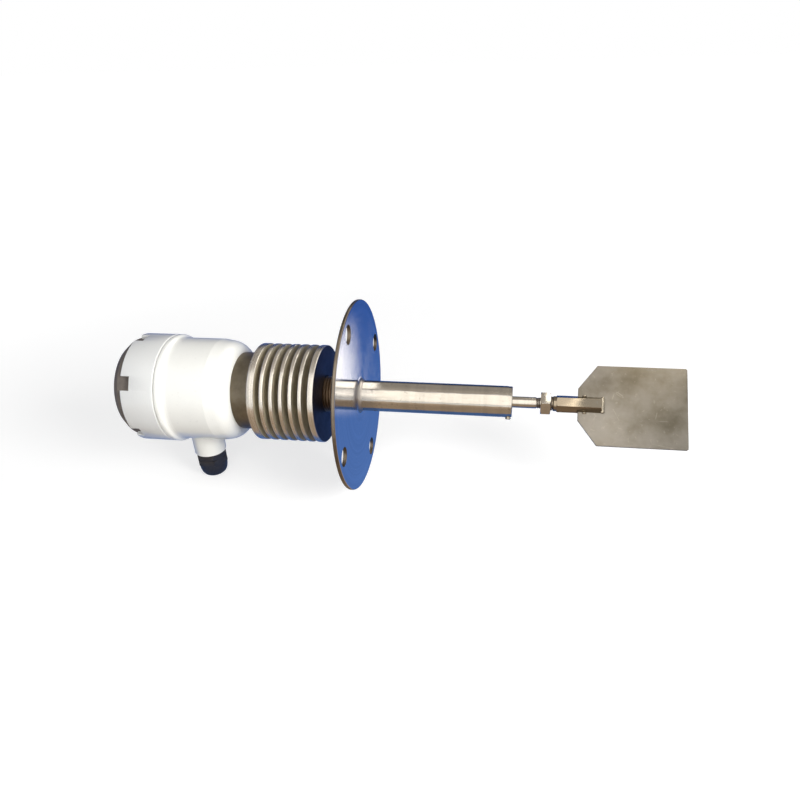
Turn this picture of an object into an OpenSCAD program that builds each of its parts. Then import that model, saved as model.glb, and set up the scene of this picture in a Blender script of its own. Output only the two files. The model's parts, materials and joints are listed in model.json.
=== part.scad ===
// Rotary paddle level switch with a finned cooling neck, flange mounted.
// The origin is the centre of the flange's paddle-side face. +X runs along the
// shaft towards the paddle, and the cable gland points straight down (-Z).

/* [Flange] */
// Outer diameter of the flange plate
flange_d = 155; // [140:1:180]
// Thickness of the flange plate
flange_t = 3; // [2:0.5:8]
// Distance of a bolt hole's centre from the flange's rim
bolt_inset = 12.5; // [10:0.5:20]
// Diameter of a bolt hole
bolt_hole_d = 15; // [9:0.5:17]
// Number of bolt holes
bolt_count = 4; // [4:2:8]
// Turn of the bolt pattern about the shaft, from straight up
flange_turn = 18; // [0:1:45]
// Leg of the polished weld between the flange and the tube
weld_leg = 5; // [2:0.5:8]

/* [Guide tube and shaft] */
// Outer diameter of the guide tube
tube_d = 25; // [24:0.5:28]
// Distance that the guide tube stands out of the flange
tube_reach = 123.4; // [80:1:300]
// Diameter of the drive shaft
shaft_d = 9; // [8:0.1:9.5]
// Outer diameter of the ball bearings and the shaft seal
bearing_d = 17; // [16.5:0.1:17.5]
// Width of a ball bearing
bearing_w = 5; // [4:0.5:6]
// Number of balls in a bearing
ball_count = 8; // [6:1:8]
// Length of the shaft between the tube and the lock nut
shaft_out = 22; // [12:0.5:60]
// Length of the thread that shows ahead of the lock nut
thread_show = 3; // [1:0.5:6]
// Diameter of the threaded stud at the shaft's end
stud_d = 8; // [6:0.5:8.5]

/* [Paddle] */
// Length of the paddle blade along the shaft
blade_l = 82.7; // [60:0.5:140]
// Width of the paddle blade
blade_w = 65; // [40:0.5:100]
// Thickness of the paddle blade
blade_t = 2; // [1:0.25:3]
// Length of the blade's sloped corners along the shaft
blade_corner_l = 14.6; // [6:0.2:25]
// Width of the blade's straight inner edge
blade_root_w = 26; // [18:0.5:36]
// Angle at which the blade rests about the shaft, from upright
blade_turn = 45; // [0:1:90]
// Width across the flats of the paddle's hexagonal sleeve
sleeve_af = 12; // [11:0.25:14]
// Length of the paddle's sleeve
sleeve_l = 37.3; // [32:0.5:60]
// Length of the sleeve's turned round end
sleeve_collar_l = 3; // [2:0.25:5]
// Depth of the sleeve's slot that holds the blade
slot_l = 17.8; // [12:0.5:20]
// Width across the flats of the lock nut
nut_af = 17; // [13:0.5:19]
// Thickness of the lock nut
nut_t = 7.7; // [5:0.1:10]
// Thickness of the spring washer
washer_t = 1.7; // [1.2:0.1:2.5]

/* [Cooling fins] */
// Outer diameter of the cooling fins
fin_d = 80.2; // [72:0.2:90]
// Thickness of a middle fin
fin_t = 3.4; // [2:0.1:5]
// Clear width between two fins
fin_gap = 4.4; // [3:0.1:7]
// Number of thin fins between the two end fins
middle_fins = 5; // [3:1:8]
// Thickness of the end fin beside the housing
rear_fin_t = 5.9; // [4:0.1:9]
// Thickness of the end fin beside the flange
front_fin_t = 4.9; // [4:0.1:9]
// Diameter of the solid core between the fins
core_d = 42; // [38:0.5:50]
// Diameter of the bare neck between the fins and the housing
neck_d = 64; // [50:0.5:64]
// Length of the bare neck that shows
neck_l = 16.6; // [10:0.1:20]
// Outer diameter of the threaded nipple beside the flange
nipple_d = 29.7; // [29:0.1:33]
// Length of the nipple that shows between the flange and the fins
nipple_show = 25.2; // [15:0.1:40]

/* [Housing] */
// Outer diameter of the housing
body_d = 85.2; // [82:0.2:92]
// Length of the housing from its shoulder end to its collar
body_l = 49; // [48:0.5:70]
// Thickness of the housing's wall
wall = 3.6; // [3:0.1:4]
// Length of the rounded shoulder
shoulder_l = 18; // [14:0.5:22]
// Drop of the shoulder from the housing's side to the neck
shoulder_h = 10.4; // [9:0.1:10.5]
// Slope at which the shoulder leaves the housing's side with a slight edge
shoulder_slope = 9; // [0:1:20]
// Length of the shoulder's sloped part ahead of its curve
shoulder_cone_l = 7; // [4:0.2:12]
// Thickness of the housing's end wall
end_wall_t = 8; // [7:0.5:12]
// Width of the rounded collar that the cover ring closes against
collar_w = 9.5; // [6:0.5:12]
// Height of the collar above the housing's wall
collar_h = 2.6; // [1:0.1:4]
// Length of the threaded spigot inside the cover ring
spigot_l = 13.1; // [10:0.1:16]

/* [Cover] */
// Outer diameter of the castellated cover ring
ring_d = 90.4; // [89.6:0.2:96]
// Length of the cover ring
ring_l = 27.8; // [24:0.2:34]
// Number of notches in the cover ring
notch_count = 6; // [4:1:8]
// Width of a notch
notch_w = 11.5; // [6:0.5:18]
// Depth of a notch along the axis
notch_l = 8; // [5:0.5:10]
// Distance that the cap's dome stands out of the cover ring
dome_out = 10.5; // [6:0.5:16]
// Diameter of the cap's flat end
dome_end_d = 73.2; // [60:0.2:76]

/* [Cable gland] */
// Diameter of the gland boss on the housing
boss_d = 27; // [25:0.5:30]
// Distance of the boss's end from the shaft's axis
boss_reach = 61.2; // [56:0.2:70]
// Distance of the boss from the housing's shoulder end
boss_in = 43.9; // [38:0.2:46]
// Diameter of the gland's thread
gland_thread_d = 20; // [16:0.5:20]
// Width across the flats of the gland body and its nut
gland_af = 24.5; // [22:0.5:26]
// Height of the gland body's hexagon
gland_hex_t = 5.6; // [4:0.2:8]
// Height of the gland's dome nut
gland_nut_l = 18; // [15:0.2:22]
// Diameter of the cable opening
cable_d = 11; // [7:0.5:12]

/* [Mechanism] */
// Height of the pillars that carry the chassis plate
pillar_l = 20.5; // [20:0.1:21]
// Thickness of the chassis plate and the swing plate
plate_t = 2; // [1.5:0.1:2.2]
// Diameter of the gearbox boss that the motor swings on
boss_pivot_d = 16; // [14:0.2:17]
// Diameter of the gearbox's output shaft
output_d = 6; // [5:0.1:6.5]
// Depth of the gearbox along the shaft
gearbox_l = 14; // [12:0.5:16]
// Depth of the motor can along the shaft
motor_l = 14; // [10:0.5:18]
// Diameter of the motor can
motor_d = 39; // [30:0.5:40]
// Largest angle that the motor swings through
swing_max = 6; // [4:0.5:6]
// Distance of the trip pin from the shaft's axis
trip_r = 31; // [30:0.2:31.4]
// Number of poles in the terminal block
pole_count = 4; // [3:1:5]

/* [Fits] */
// Radial clearance of a turning shaft or pivot
run_gap = 0.05; // [0.02:0.01:0.08]
// Radial clearance of a round piece that is pressed or screwed home
seat_gap = 0.03; // [0.01:0.01:0.06]
// Clearance at rest between a moving piece and its neighbour
rest_gap = 0.3; // [0.2:0.05:0.4]

/* [Hidden] */
$fn = 64;
eps = 0.01;
small_fn = 32;

// Flange
bolt_circle_d = flange_d - 2 * bolt_inset;
weld_toe_r = tube_d / 2 + seat_gap + 0.2 + weld_leg;
weld_seat_t = 0.2 * flange_t;

// Places along the shaft, from the flange to the cover
flange_back_x = -flange_t;
fins_front_x = flange_back_x - nipple_show;
fin_pitch = fin_t + fin_gap;
fins_l = front_fin_t + rear_fin_t + middle_fins * fin_pitch + fin_gap;
fins_rear_x = fins_front_x - fins_l;
body_end_x = fins_rear_x - neck_l;
floor_x = body_end_x - end_wall_t;
collar_x = body_end_x - body_l;
spigot_x = collar_x - collar_w;
spigot_end_x = spigot_x - spigot_l;
ring_x = spigot_x - rest_gap;
ring_end_x = ring_x - ring_l;
dome_end_x = ring_end_x - dome_out;
gland_x = body_end_x - boss_in;

// Places of the paddle
nut_x = tube_reach + shaft_out;
washer_x = nut_x + nut_t;
sleeve_x = washer_x + washer_t;
sleeve_end_x = sleeve_x + sleeve_l;
blade_x = sleeve_end_x - slot_l;
stud_end_x = blade_x - 4;
plain_end_x = nut_x - thread_show;

// Radii of the housing and cover
body_r = body_d / 2;
inner_r = body_r - wall;
spigot_r = body_r - 0.4;
ring_bore_r = spigot_r + rest_gap;
gasket_t = 1.2;
cap_flange_t = 2.5;
cap_wall = 2.5;
ring_lip_t = 2.5;
cap_flange_x = spigot_end_x - gasket_t;
ring_lip_x = cap_flange_x - cap_flange_t;
ring_lip_r = ring_bore_r - 1;
dome_r = ring_lip_r - rest_gap;
dome_bevel_x = dome_end_x + 6;

// Bearings and shaft passage
shaft_r = shaft_d / 2;
bearing_r = bearing_d / 2;
tube_bore_r = bearing_r + seat_gap;
ball_track_r = (shaft_r + bearing_r) / 2;
ball_r = 1.55;
ring_wall = 1.1;
tube_in_x = fins_front_x - 22;
nipple_in_x = fins_front_x - 16;
lock_ring_t = 3.5;
lock_ring_r = 24;
neck_spigot_r = 18;
neck_spigot_x = floor_x - lock_ring_t - 0.5;
rear_bearing_x = neck_spigot_x + 0.5;
front_bearing_x = tube_reach - 24;
seal_l = 6;
seal_x = front_bearing_x + bearing_w + rest_gap;
bush_x = seal_x + seal_l + rest_gap;
land_l = 3.2;
land_cut = 0.25;
bush_screw_x = tube_reach - 2.9;
bush_screw_turn = 151.4;
bush_screw_d = 4.4;
clip_t = 0.9;
clip_groove_r = shaft_r - 0.35;

// Mechanism, from the chassis plate towards the cover
chassis_x = floor_x - pillar_l;
chassis_face_x = chassis_x - plate_t;
chassis_r = inner_r - 1.5;
pillar_r = 31;
pillar_turns = [52, 128, 232, 308];
pillar_thread_l = end_wall_t - 4;
chassis_screw_l = 4 * plate_t;
bush_flange_t = 2;
bush_flange_r = 12;
pivot_bush_r = 10;
boss_pivot_r = boss_pivot_d / 2;
swing_x = chassis_face_x - bush_flange_t - rest_gap;
swing_face_x = swing_x - plate_t;
pivot_bush_end_x = chassis_x + 1;
pivot_clip_x = pivot_bush_end_x + 0.1;
boss_end_x = pivot_clip_x + 1.4;
gearbox_x = swing_face_x - gearbox_l;
motor_x = gearbox_x - motor_l;
gearbox_r = 14;
gearbox_shift = 17;
motor_shift = 9;
coupling_x = boss_end_x + 0.5;
coupling_end_x = neck_spigot_x - 0.9;
coupling_r = 8;
shaft_start_x = (coupling_x + coupling_end_x) / 2;
output_end_x = shaft_start_x - 0.3;
output_r = output_d / 2;
swing_disc_r = 17;
stop_track_r = 14.5;
stop_pin_r = 1.25;
finger_w = 5;
finger_end = trip_r + 2.8;

// Return spring on the finger
spring_y = -24;
spring_post_z = 22;
spring_peg_r = 1;
spring_post_r = 1.25;
spring_wire_r = 0.35;
spring_coil_r = 1.85;
spring_x = swing_face_x - 2.6;
spring_hook_r = 1.65;

// Microswitches beside the trip pin
switch_plate_t = 1.5;
switch_plate_x = swing_face_x - 6.7;
switch_x0 = switch_plate_x;
switch_t = 6;
switch_h = 7;
switch_l = 14.5;
switch_end_y = -19.5;
trip_pin_r = 1.5;
lever_t = 0.5;
lever_w = 4;
lever_l = 15.6;
lever_pivot_y = -18;
knuckle_r = 1.1;
knuckle_bore_r = 0.5 + run_gap;
lever_arm = trip_r + lever_pivot_y;
lever_ratio = 14 / 6;
upper_pivot_z = trip_pin_r + rest_gap + knuckle_r;
lower_pivot_z = -trip_r * sin(swing_max) - upper_pivot_z;
switch_gap = 0.2;
window_margin = 1;

// Terminal block
pole_w = 7;
block_h = 11;
block_l = 12;
bracket_t = 1.5;
bracket_z = 22.3;
block_end_x = motor_x - 1.7;
block_w = pole_count * pole_w;
bracket_end_x = block_end_x - 0.5;

// A solid of revolution about the shaft's axis, from points of radius and place
module turned(points) {
    rotate([0, 90, 0])
        rotate_extrude()
            polygon(points);
}

// A round bar along the shaft's axis between two places
module bar(x0, x1, r) {
    translate([x0, 0, 0])
        rotate([0, 90, 0])
            cylinder(h = x1 - x0, r = r);
}

// A ring along the shaft's axis between two places
module tube(x0, x1, r, bore_r) {
    difference() {
        bar(x0, x1, r);
        bar(x0 - 1, x1 + 1, bore_r);
    }
}

// A hexagonal bar along the shaft's axis, with chamfered corners at the chosen ends
module hex_bar(x0, x1, af, turn, cut0 = true, cut1 = true) {
    corner_r = af / sqrt(3);
    flat_r = af / 2 * 1.02;
    drop = (corner_r - flat_r) * 0.6;
    intersection() {
        translate([x0, 0, 0])
            rotate([turn, 0, 0])
                rotate([0, 90, 0])
                    cylinder(h = x1 - x0, r = corner_r, $fn = 6);
        turned([
            [0, x0],
            [cut0 ? flat_r : corner_r + 1, x0],
            [corner_r + 1, cut0 ? x0 + drop * (corner_r + 1 - flat_r) / (corner_r - flat_r) : x0],
            [corner_r + 1, cut1 ? x1 - drop * (corner_r + 1 - flat_r) / (corner_r - flat_r) : x1],
            [cut1 ? flat_r : corner_r + 1, x1],
            [0, x1]
        ]);
    }
}

// A screw along X whose head faces the cover, seated at place x and point y, z
module cover_screw(x, y, z, r, head_r, head_t, depth) {
    translate([x, y, z])
        rotate([0, -90, 0])
            difference() {
                union() {
                    translate([0, 0, -depth])
                        cylinder(h = depth, r = r, $fn = small_fn);
                    cylinder(h = head_t, r = head_r, $fn = small_fn);
                }
                translate([-head_r - 1, -head_r * 0.14, head_t * 0.45])
                    cube([head_r * 2 + 2, head_r * 0.28, head_t]);
            }
}

// A box from its low corner to its high corner
module block(low, high) {
    translate(low)
        cube(high - low);
}

// Housing shell in one casting, with collar, spigot and gland boss
shoulder_steps = 10;
shoulder_sweep = 80;
cone_h = shoulder_cone_l * tan(shoulder_slope);
shoulder_x = body_end_x - shoulder_l;
shoulder_line = concat(
    [
        for (i = [0 : shoulder_steps])
            let (a = shoulder_sweep - (shoulder_sweep - shoulder_slope) * i / shoulder_steps)
            let (drop = (cos(shoulder_slope) - cos(a)) / (cos(shoulder_slope) - cos(shoulder_sweep)))
            let (along = (sin(a) - sin(shoulder_slope)) / (sin(shoulder_sweep) - sin(shoulder_slope)))
            [
                body_r - cone_h - (shoulder_h - cone_h) * drop,
                shoulder_x + shoulder_cone_l + (shoulder_l - shoulder_cone_l) * along
            ]
    ],
    [[body_r, shoulder_x]]
);
collar_shape = [
    [0, 0],
    [0.2, 0.08],
    [0.35, 0.25],
    [0.45, 0.55],
    [0.55, 0.85],
    [0.67, 1],
    [0.85, 1],
    [0.95, 0.88],
    [1, 0.68]
];
collar_line = [for (p = collar_shape) [body_r + collar_h * p[1], collar_x - collar_w * p[0]]];

module housing() {
    color("white")
        difference() {
            union() {
                turned(concat(
                    [[neck_spigot_r + seat_gap, body_end_x]],
                    shoulder_line,
                    collar_line,
                    [
                        [spigot_r, spigot_x],
                        [spigot_r, spigot_end_x],
                        [inner_r, spigot_end_x],
                        [inner_r, floor_x - 6.5],
                        [inner_r - 4, floor_x],
                        [neck_spigot_r + seat_gap, floor_x]
                    ]
                ));
                translate([gland_x, 0, -boss_reach])
                    cylinder(h = boss_reach - inner_r - wall / 2, d = boss_d);
            }
            translate([gland_x, 0, -boss_reach - 1])
                cylinder(h = boss_reach, d = gland_thread_d + 2 * seat_gap);
            for (turn = pillar_turns)
                rotate([turn, 0, 0])
                    translate([0, pillar_r, 0])
                        bar(floor_x - 1, floor_x + pillar_thread_l + 1, 1.5 + seat_gap);
        }
}

// Turned heat sink: seven fins, bare neck, spigot into the housing
fin_edge = 0.4;
function fin_points(x0, x1) = [
    [core_d / 2, x0],
    [fin_d / 2 - fin_edge, x0],
    [fin_d / 2, x0 + fin_edge],
    [fin_d / 2, x1 - fin_edge],
    [fin_d / 2 - fin_edge, x1],
    [core_d / 2, x1]
];
function middle_fin_x(i) = fins_rear_x + rear_fin_t + fin_gap + i * fin_pitch;

module heat_sink() {
    color("silver")
        difference() {
            turned(concat(
                [
                    [0, neck_spigot_x],
                    [neck_spigot_r - 0.5, neck_spigot_x],
                    [neck_spigot_r, neck_spigot_x + 0.5],
                    [neck_spigot_r, body_end_x],
                    [neck_d / 2, body_end_x],
                    [neck_d / 2, fins_rear_x]
                ],
                [
                    [fin_d / 2 - fin_edge, fins_rear_x],
                    [fin_d / 2, fins_rear_x + fin_edge],
                    [fin_d / 2, fins_rear_x + rear_fin_t - fin_edge],
                    [fin_d / 2 - fin_edge, fins_rear_x + rear_fin_t],
                    [core_d / 2, fins_rear_x + rear_fin_t]
                ],
                [for (i = [0 : middle_fins - 1]) each fin_points(middle_fin_x(i), middle_fin_x(i) + fin_t)],
                fin_points(fins_front_x - front_fin_t, fins_front_x),
                [[0, fins_front_x]]
            ));
            bar(nipple_in_x, fins_front_x + 1, nipple_d / 2 + seat_gap);
            bar(tube_in_x, nipple_in_x + 1, tube_d / 2 + seat_gap);
            bar(neck_spigot_x - 1, tube_in_x + 1, shaft_r + 1.5);
            bar(neck_spigot_x - 1, rear_bearing_x + bearing_w, bearing_r + seat_gap);
        }
}

// Round nut that clamps the heat sink's spigot inside the housing
module neck_lock_ring() {
    color("dimgray")
        difference() {
            tube(floor_x - lock_ring_t, floor_x, lock_ring_r, neck_spigot_r + seat_gap);
            for (turn = [0 : 90 : 270])
                rotate([turn + 45, 0, 0])
                    translate([floor_x - lock_ring_t - 1, -2, lock_ring_r - 3])
                        cube([lock_ring_t + 2, 4, 6]);
        }
}

// Threaded nipple between the heat sink and the flange
module neck_nipple() {
    color("darkgray")
        turned([
            [tube_d / 2 + seat_gap, nipple_in_x],
            [nipple_d / 2 - 1, nipple_in_x],
            [nipple_d / 2, nipple_in_x + 1],
            [nipple_d / 2, flange_back_x - 2.5],
            [nipple_d / 2 - 1, flange_back_x - 1.5],
            [nipple_d / 2 - 1, flange_back_x],
            [tube_d / 2 + seat_gap, flange_back_x]
        ]);
}

// Flange plate with its bolt holes
flange_edge = 0.5;
module flange_plate() {
    color("lightsteelblue")
        difference() {
            turned([
                [tube_d / 2 + seat_gap, flange_back_x],
                [flange_d / 2 - flange_edge, flange_back_x],
                [flange_d / 2, flange_back_x + flange_edge],
                [flange_d / 2, -flange_edge],
                [flange_d / 2 - flange_edge, 0],
                [weld_toe_r + seat_gap, 0],
                [weld_toe_r + seat_gap, -weld_seat_t],
                [tube_d / 2 + seat_gap, -weld_seat_t]
            ]);
            for (i = [0 : bolt_count - 1])
                rotate([flange_turn + i * 360 / bolt_count, 0, 0])
                    translate([0, 0, bolt_circle_d / 2])
                        bar(flange_back_x - 1, 1, bolt_hole_d / 2);
        }
}

// Polished weld fillet where the tube leaves the flange, set in a shallow recess of the flange
weld_steps = 10;
module flange_weld() {
    color("gainsboro")
        turned(concat(
            [
                [tube_d / 2 + seat_gap, -weld_seat_t],
                [weld_toe_r, -weld_seat_t]
            ],
            [
                for (i = [0 : weld_steps])
                    let (a = 90 * i / weld_steps)
                    [
                        weld_toe_r - weld_leg * sin(a),
                        weld_leg * (1 - cos(a)) + (i == 0 ? 0 : 0.02)
                    ]
            ],
            [[tube_d / 2 + seat_gap, weld_leg + 0.02]]
        ));
}

// Guide tube from the heat sink through the flange to the seal
module guide_tube() {
    color("silver")
        difference() {
            turned([
                [tube_bore_r, tube_in_x],
                [tube_d / 2, tube_in_x],
                [tube_d / 2, tube_reach - land_l],
                [tube_d / 2 - land_cut, tube_reach - land_l],
                [tube_d / 2 - land_cut, tube_reach - 0.4],
                [tube_d / 2 - land_cut - 0.4, tube_reach],
                [tube_bore_r, tube_reach]
            ]);
            screw_hole();
        }
}

// Direction of the end bush's retaining screw, from the shaft's axis
module toward_screw() {
    translate([bush_screw_x, 0, 0])
        rotate([bush_screw_turn, 0, 0])
            children();
}

module screw_hole() {
    toward_screw()
        translate([0, 0, shaft_r + 1.2])
            cylinder(h = tube_d / 2, r = 1.5 + seat_gap, $fn = small_fn);
}

// Bronze bush that closes the tube's end round the shaft
module end_bush() {
    color("goldenrod")
        difference() {
            tube(bush_x, tube_reach - rest_gap, tube_bore_r - seat_gap, shaft_r + run_gap);
            screw_hole();
        }
}

// Small round-headed screw that holds the end bush
module bush_screw() {
    color("silver")
        toward_screw()
            difference() {
                union() {
                    translate([0, 0, shaft_r + 1.5])
                        cylinder(h = tube_d / 2 - shaft_r, r = 1.5, $fn = small_fn);
                    translate([0, 0, tube_d / 2])
                        cylinder(h = 1.2, d = bush_screw_d, $fn = small_fn);
                    translate([0, 0, tube_d / 2 + 1.2])
                        cylinder(h = 0.5, d1 = bush_screw_d, d2 = bush_screw_d - 1.2, $fn = small_fn);
                }
                translate([-3, -0.3, tube_d / 2 + 1])
                    cube([6, 0.6, 2]);
            }
}

// Rubber lip seal ahead of the front bearing
module shaft_seal() {
    color("black")
        turned([
            [shaft_r + run_gap, seal_x + 2.2],
            [shaft_r + 0.9, seal_x],
            [tube_bore_r - seat_gap, seal_x],
            [tube_bore_r - seat_gap, seal_x + seal_l],
            [shaft_r + 1.6, seal_x + seal_l],
            [shaft_r + 1.6, seal_x + 3.4],
            [shaft_r + run_gap, seal_x + 3.4]
        ]);
}

// Places of the two ball bearings
bearing_places = [rear_bearing_x, front_bearing_x];

module ball_track(x) {
    translate([x + bearing_w / 2, 0, 0])
        rotate([0, 90, 0])
            rotate_extrude()
                translate([ball_track_r, 0])
                    circle(r = ball_r + run_gap, $fn = small_fn);
}

module bearing_outer_rings() {
    color("lightgray")
        for (x = bearing_places)
            difference() {
                tube(x, x + bearing_w, bearing_r, bearing_r - ring_wall);
                ball_track(x);
            }
}

module bearing_inner_rings() {
    color("lightgray")
        for (x = bearing_places)
            difference() {
                tube(x, x + bearing_w, shaft_r + ring_wall, shaft_r + seat_gap);
                ball_track(x);
            }
}

module bearing_balls() {
    color("gainsboro")
        for (x = bearing_places)
            for (i = [0 : ball_count - 1])
                rotate([i * 360 / ball_count, 0, 0])
                    translate([x + bearing_w / 2, 0, ball_track_r])
                        sphere(r = ball_r, $fn = small_fn);
}

// Cable gland: threaded body, rubber seal and dome nut
gland_hex_z = -boss_reach;
gland_nut_z = gland_hex_z - gland_hex_t;
gland_end_z = gland_nut_z - gland_nut_l;
gland_bore_r = gland_thread_d / 2 - 2;
gland_thread_l = 0.7 * gland_thread_d;
gland_nut_thread_l = 0.4 * gland_thread_d;

module at_gland(z) {
    translate([gland_x, 0, z])
        mirror([0, 0, 1])
            children();
}

module gland_hex(h) {
    corner_r = gland_af / sqrt(3);
    intersection() {
        cylinder(h = h, r = corner_r, $fn = 6);
        rotate_extrude()
            polygon([
                [0, 0],
                [gland_af / 2, 0],
                [corner_r, 0.9],
                [corner_r, h - 0.9],
                [gland_af / 2, h],
                [0, h]
            ]);
    }
}

module gland_body() {
    color("black")
        difference() {
            union() {
                at_gland(gland_hex_z)
                    gland_hex(gland_hex_t);
                translate([gland_x, 0, gland_hex_z])
                    cylinder(h = gland_thread_l, d = gland_thread_d);
                at_gland(gland_nut_z)
                    cylinder(h = gland_nut_thread_l, r = gland_thread_d / 2 - 0.5);
            }
            translate([gland_x, 0, gland_nut_z - gland_thread_l])
                cylinder(h = gland_hex_t + 3 * gland_thread_l, r = gland_bore_r);
        }
}

module gland_seal() {
    color("dimgray")
        at_gland(gland_nut_z + 3)
            rotate_extrude()
                polygon([
                    [cable_d / 2, 0],
                    [gland_bore_r - 0.1, 0],
                    [gland_bore_r - 0.1, 11],
                    [cable_d / 2 + 1.3, 14.5],
                    [cable_d / 2, 14.5]
                ]);
}

module gland_nut() {
    corner_r = gland_af / sqrt(3);
    color("black")
        difference() {
            at_gland(gland_nut_z)
                intersection() {
                    union() {
                        cylinder(h = gland_nut_l * 0.34, r = corner_r, $fn = 6);
                        cylinder(h = gland_nut_l, r = gland_af / 2 - 0.2);
                    }
                    rotate_extrude()
                        polygon([
                            [0, 0],
                            [gland_af / 2, 0],
                            [corner_r, 0.9],
                            [corner_r, gland_nut_l * 0.34 - 1.2],
                            [gland_af / 2, gland_nut_l * 0.34],
                            [gland_af / 2 - 0.4, gland_nut_l * 0.62],
                            [gland_af / 2 - 1.2, gland_nut_l * 0.8],
                            [gland_af / 2 - 2.4, gland_nut_l * 0.92],
                            [gland_af / 2 - 4.2, gland_nut_l],
                            [0, gland_nut_l]
                        ]);
                }
            translate([gland_x, 0, gland_end_z - 1])
                cylinder(h = gland_nut_l + 2, d = cable_d);
            translate([gland_x, 0, gland_nut_z - gland_nut_thread_l - rest_gap])
                cylinder(h = gland_nut_thread_l + rest_gap + 0.1, r = gland_thread_d / 2 - 0.5 + seat_gap);
            at_gland(gland_nut_z + 1)
                cylinder(h = gland_nut_thread_l + 5, r = gland_bore_r);
        }
}

// Pillars, chassis plate and its screws
module chassis_pillars() {
    color("silver")
        for (turn = pillar_turns)
            rotate([turn, 0, 0])
                translate([0, pillar_r, 0]) {
                    difference() {
                        hex_bar(chassis_x, floor_x, 5.5, 0);
                        bar(chassis_x - 1, chassis_x + chassis_screw_l, 1.5 + seat_gap);
                    }
                    bar(floor_x - eps, floor_x + pillar_thread_l, 1.5);
                }
}

module chassis_plate() {
    color("silver")
        difference() {
            bar(chassis_face_x, chassis_x, chassis_r);
            bar(chassis_face_x - 1, chassis_x + 1, pivot_bush_r + seat_gap);
            for (turn = pillar_turns)
                rotate([turn, 0, 0])
                    translate([0, pillar_r, 0])
                        bar(chassis_face_x - 1, chassis_x + 1, 1.5 + seat_gap);
            translate([0, 0, -stop_track_r])
                bar(chassis_face_x - 1, chassis_x + 1, stop_pin_r + seat_gap);
            translate([0, spring_y, spring_post_z])
                bar(chassis_face_x - 1, chassis_x + 1, spring_post_r + seat_gap);
            for (y = bracket_screws_y)
                translate([0, y, switch_foot_screw_z])
                    bar(chassis_face_x - 1, chassis_x + 1, 1.25 + seat_gap);
            for (y = [-5, 5])
                translate([0, y, terminal_foot_screw_z])
                    bar(chassis_face_x - 1, chassis_x + 1, 1.5 + seat_gap);
            translate([0, earth_y, earth_z])
                bar(chassis_face_x - 1, chassis_x + 1, 2 + seat_gap);
            difference() {
                translate([0, 0, -chassis_r])
                    bar(chassis_face_x - 1, chassis_x + 1, 9);
                translate([0, 0, 0])
                    bar(chassis_face_x - 2, chassis_x + 2, chassis_r - 6);
            }
        }
}

earth_y = 15;
earth_z = -30;
terminal_foot_screw_z = 29;
switch_foot_screw_z = -18;
bracket_screws_y = [-29, -24.2];

module chassis_screws() {
    color("gainsboro") {
        for (turn = pillar_turns)
            rotate([turn, 0, 0])
                cover_screw(chassis_face_x, pillar_r, 0, 1.5, 2.75, 1.9, chassis_screw_l);
        for (y = bracket_screws_y)
            cover_screw(
                chassis_face_x - bracket_t,
                y,
                switch_foot_screw_z,
                1.25,
                2.2,
                1.5,
                bracket_t + plate_t
            );
        for (y = [-5, 5])
            cover_screw(
                chassis_face_x - bracket_t,
                y,
                terminal_foot_screw_z,
                1.5,
                2.75,
                1.9,
                bracket_t + plate_t
            );
    }
}

// Flanged bush in the chassis plate that the gearbox boss turns in
module pivot_bush() {
    color("goldenrod")
        turned([
            [boss_pivot_r + run_gap, pivot_bush_end_x],
            [pivot_bush_r, pivot_bush_end_x],
            [pivot_bush_r, chassis_face_x],
            [bush_flange_r, chassis_face_x],
            [bush_flange_r, chassis_face_x - bush_flange_t],
            [boss_pivot_r + run_gap, chassis_face_x - bush_flange_t]
        ]);
}

// Pin that stops the swing plate at both ends of its slot
module stop_pin() {
    color("gainsboro")
        translate([0, 0, -stop_track_r])
            bar(swing_face_x + rest_gap, chassis_x, stop_pin_r);
}

// Post that anchors the return spring
module spring_post() {
    color("gainsboro")
        translate([0, spring_y, spring_post_z])
            difference() {
                bar(spring_x - 1.6, chassis_x, spring_post_r);
                tube(spring_x - 0.5, spring_x + 0.5, spring_post_r + 1, spring_post_r - 0.25);
            }
}

// Extension spring between the finger's peg and the post
coil_turns = 11;
coil_sides = 8;
coil_steps = 12;
coil_z0 = spring_hook_r * 2 + 0.2;
coil_z1 = spring_post_z - spring_hook_r * 2 - 0.2;
coil_points = [
    for (i = [0 : coil_turns * coil_steps])
        for (j = [0 : coil_sides - 1])
            let (a = i * 360 / coil_steps)
            let (b = j * 360 / coil_sides)
            let (r = spring_coil_r + spring_wire_r * cos(b))
            [
                r * cos(a),
                r * sin(a),
                coil_z0 + (coil_z1 - coil_z0) * i / (coil_turns * coil_steps) + spring_wire_r * sin(b)
            ]
];
coil_faces = concat(
    [[for (j = [coil_sides - 1 : -1 : 0]) j]],
    [
        for (i = [0 : coil_turns * coil_steps - 1])
            for (j = [0 : coil_sides - 1])
                let (k = (j + 1) % coil_sides)
                [i * coil_sides + k, (i + 1) * coil_sides + k, (i + 1) * coil_sides + j, i * coil_sides + j]
    ],
    [[for (j = [0 : coil_sides - 1]) coil_turns * coil_steps * coil_sides + j]]
);

module spring_hook(z) {
    translate([0, 0, z])
        rotate([0, 90, 0])
            rotate_extrude($fn = 24)
                translate([spring_hook_r, 0])
                    circle(r = spring_wire_r, $fn = 16);
}

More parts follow.
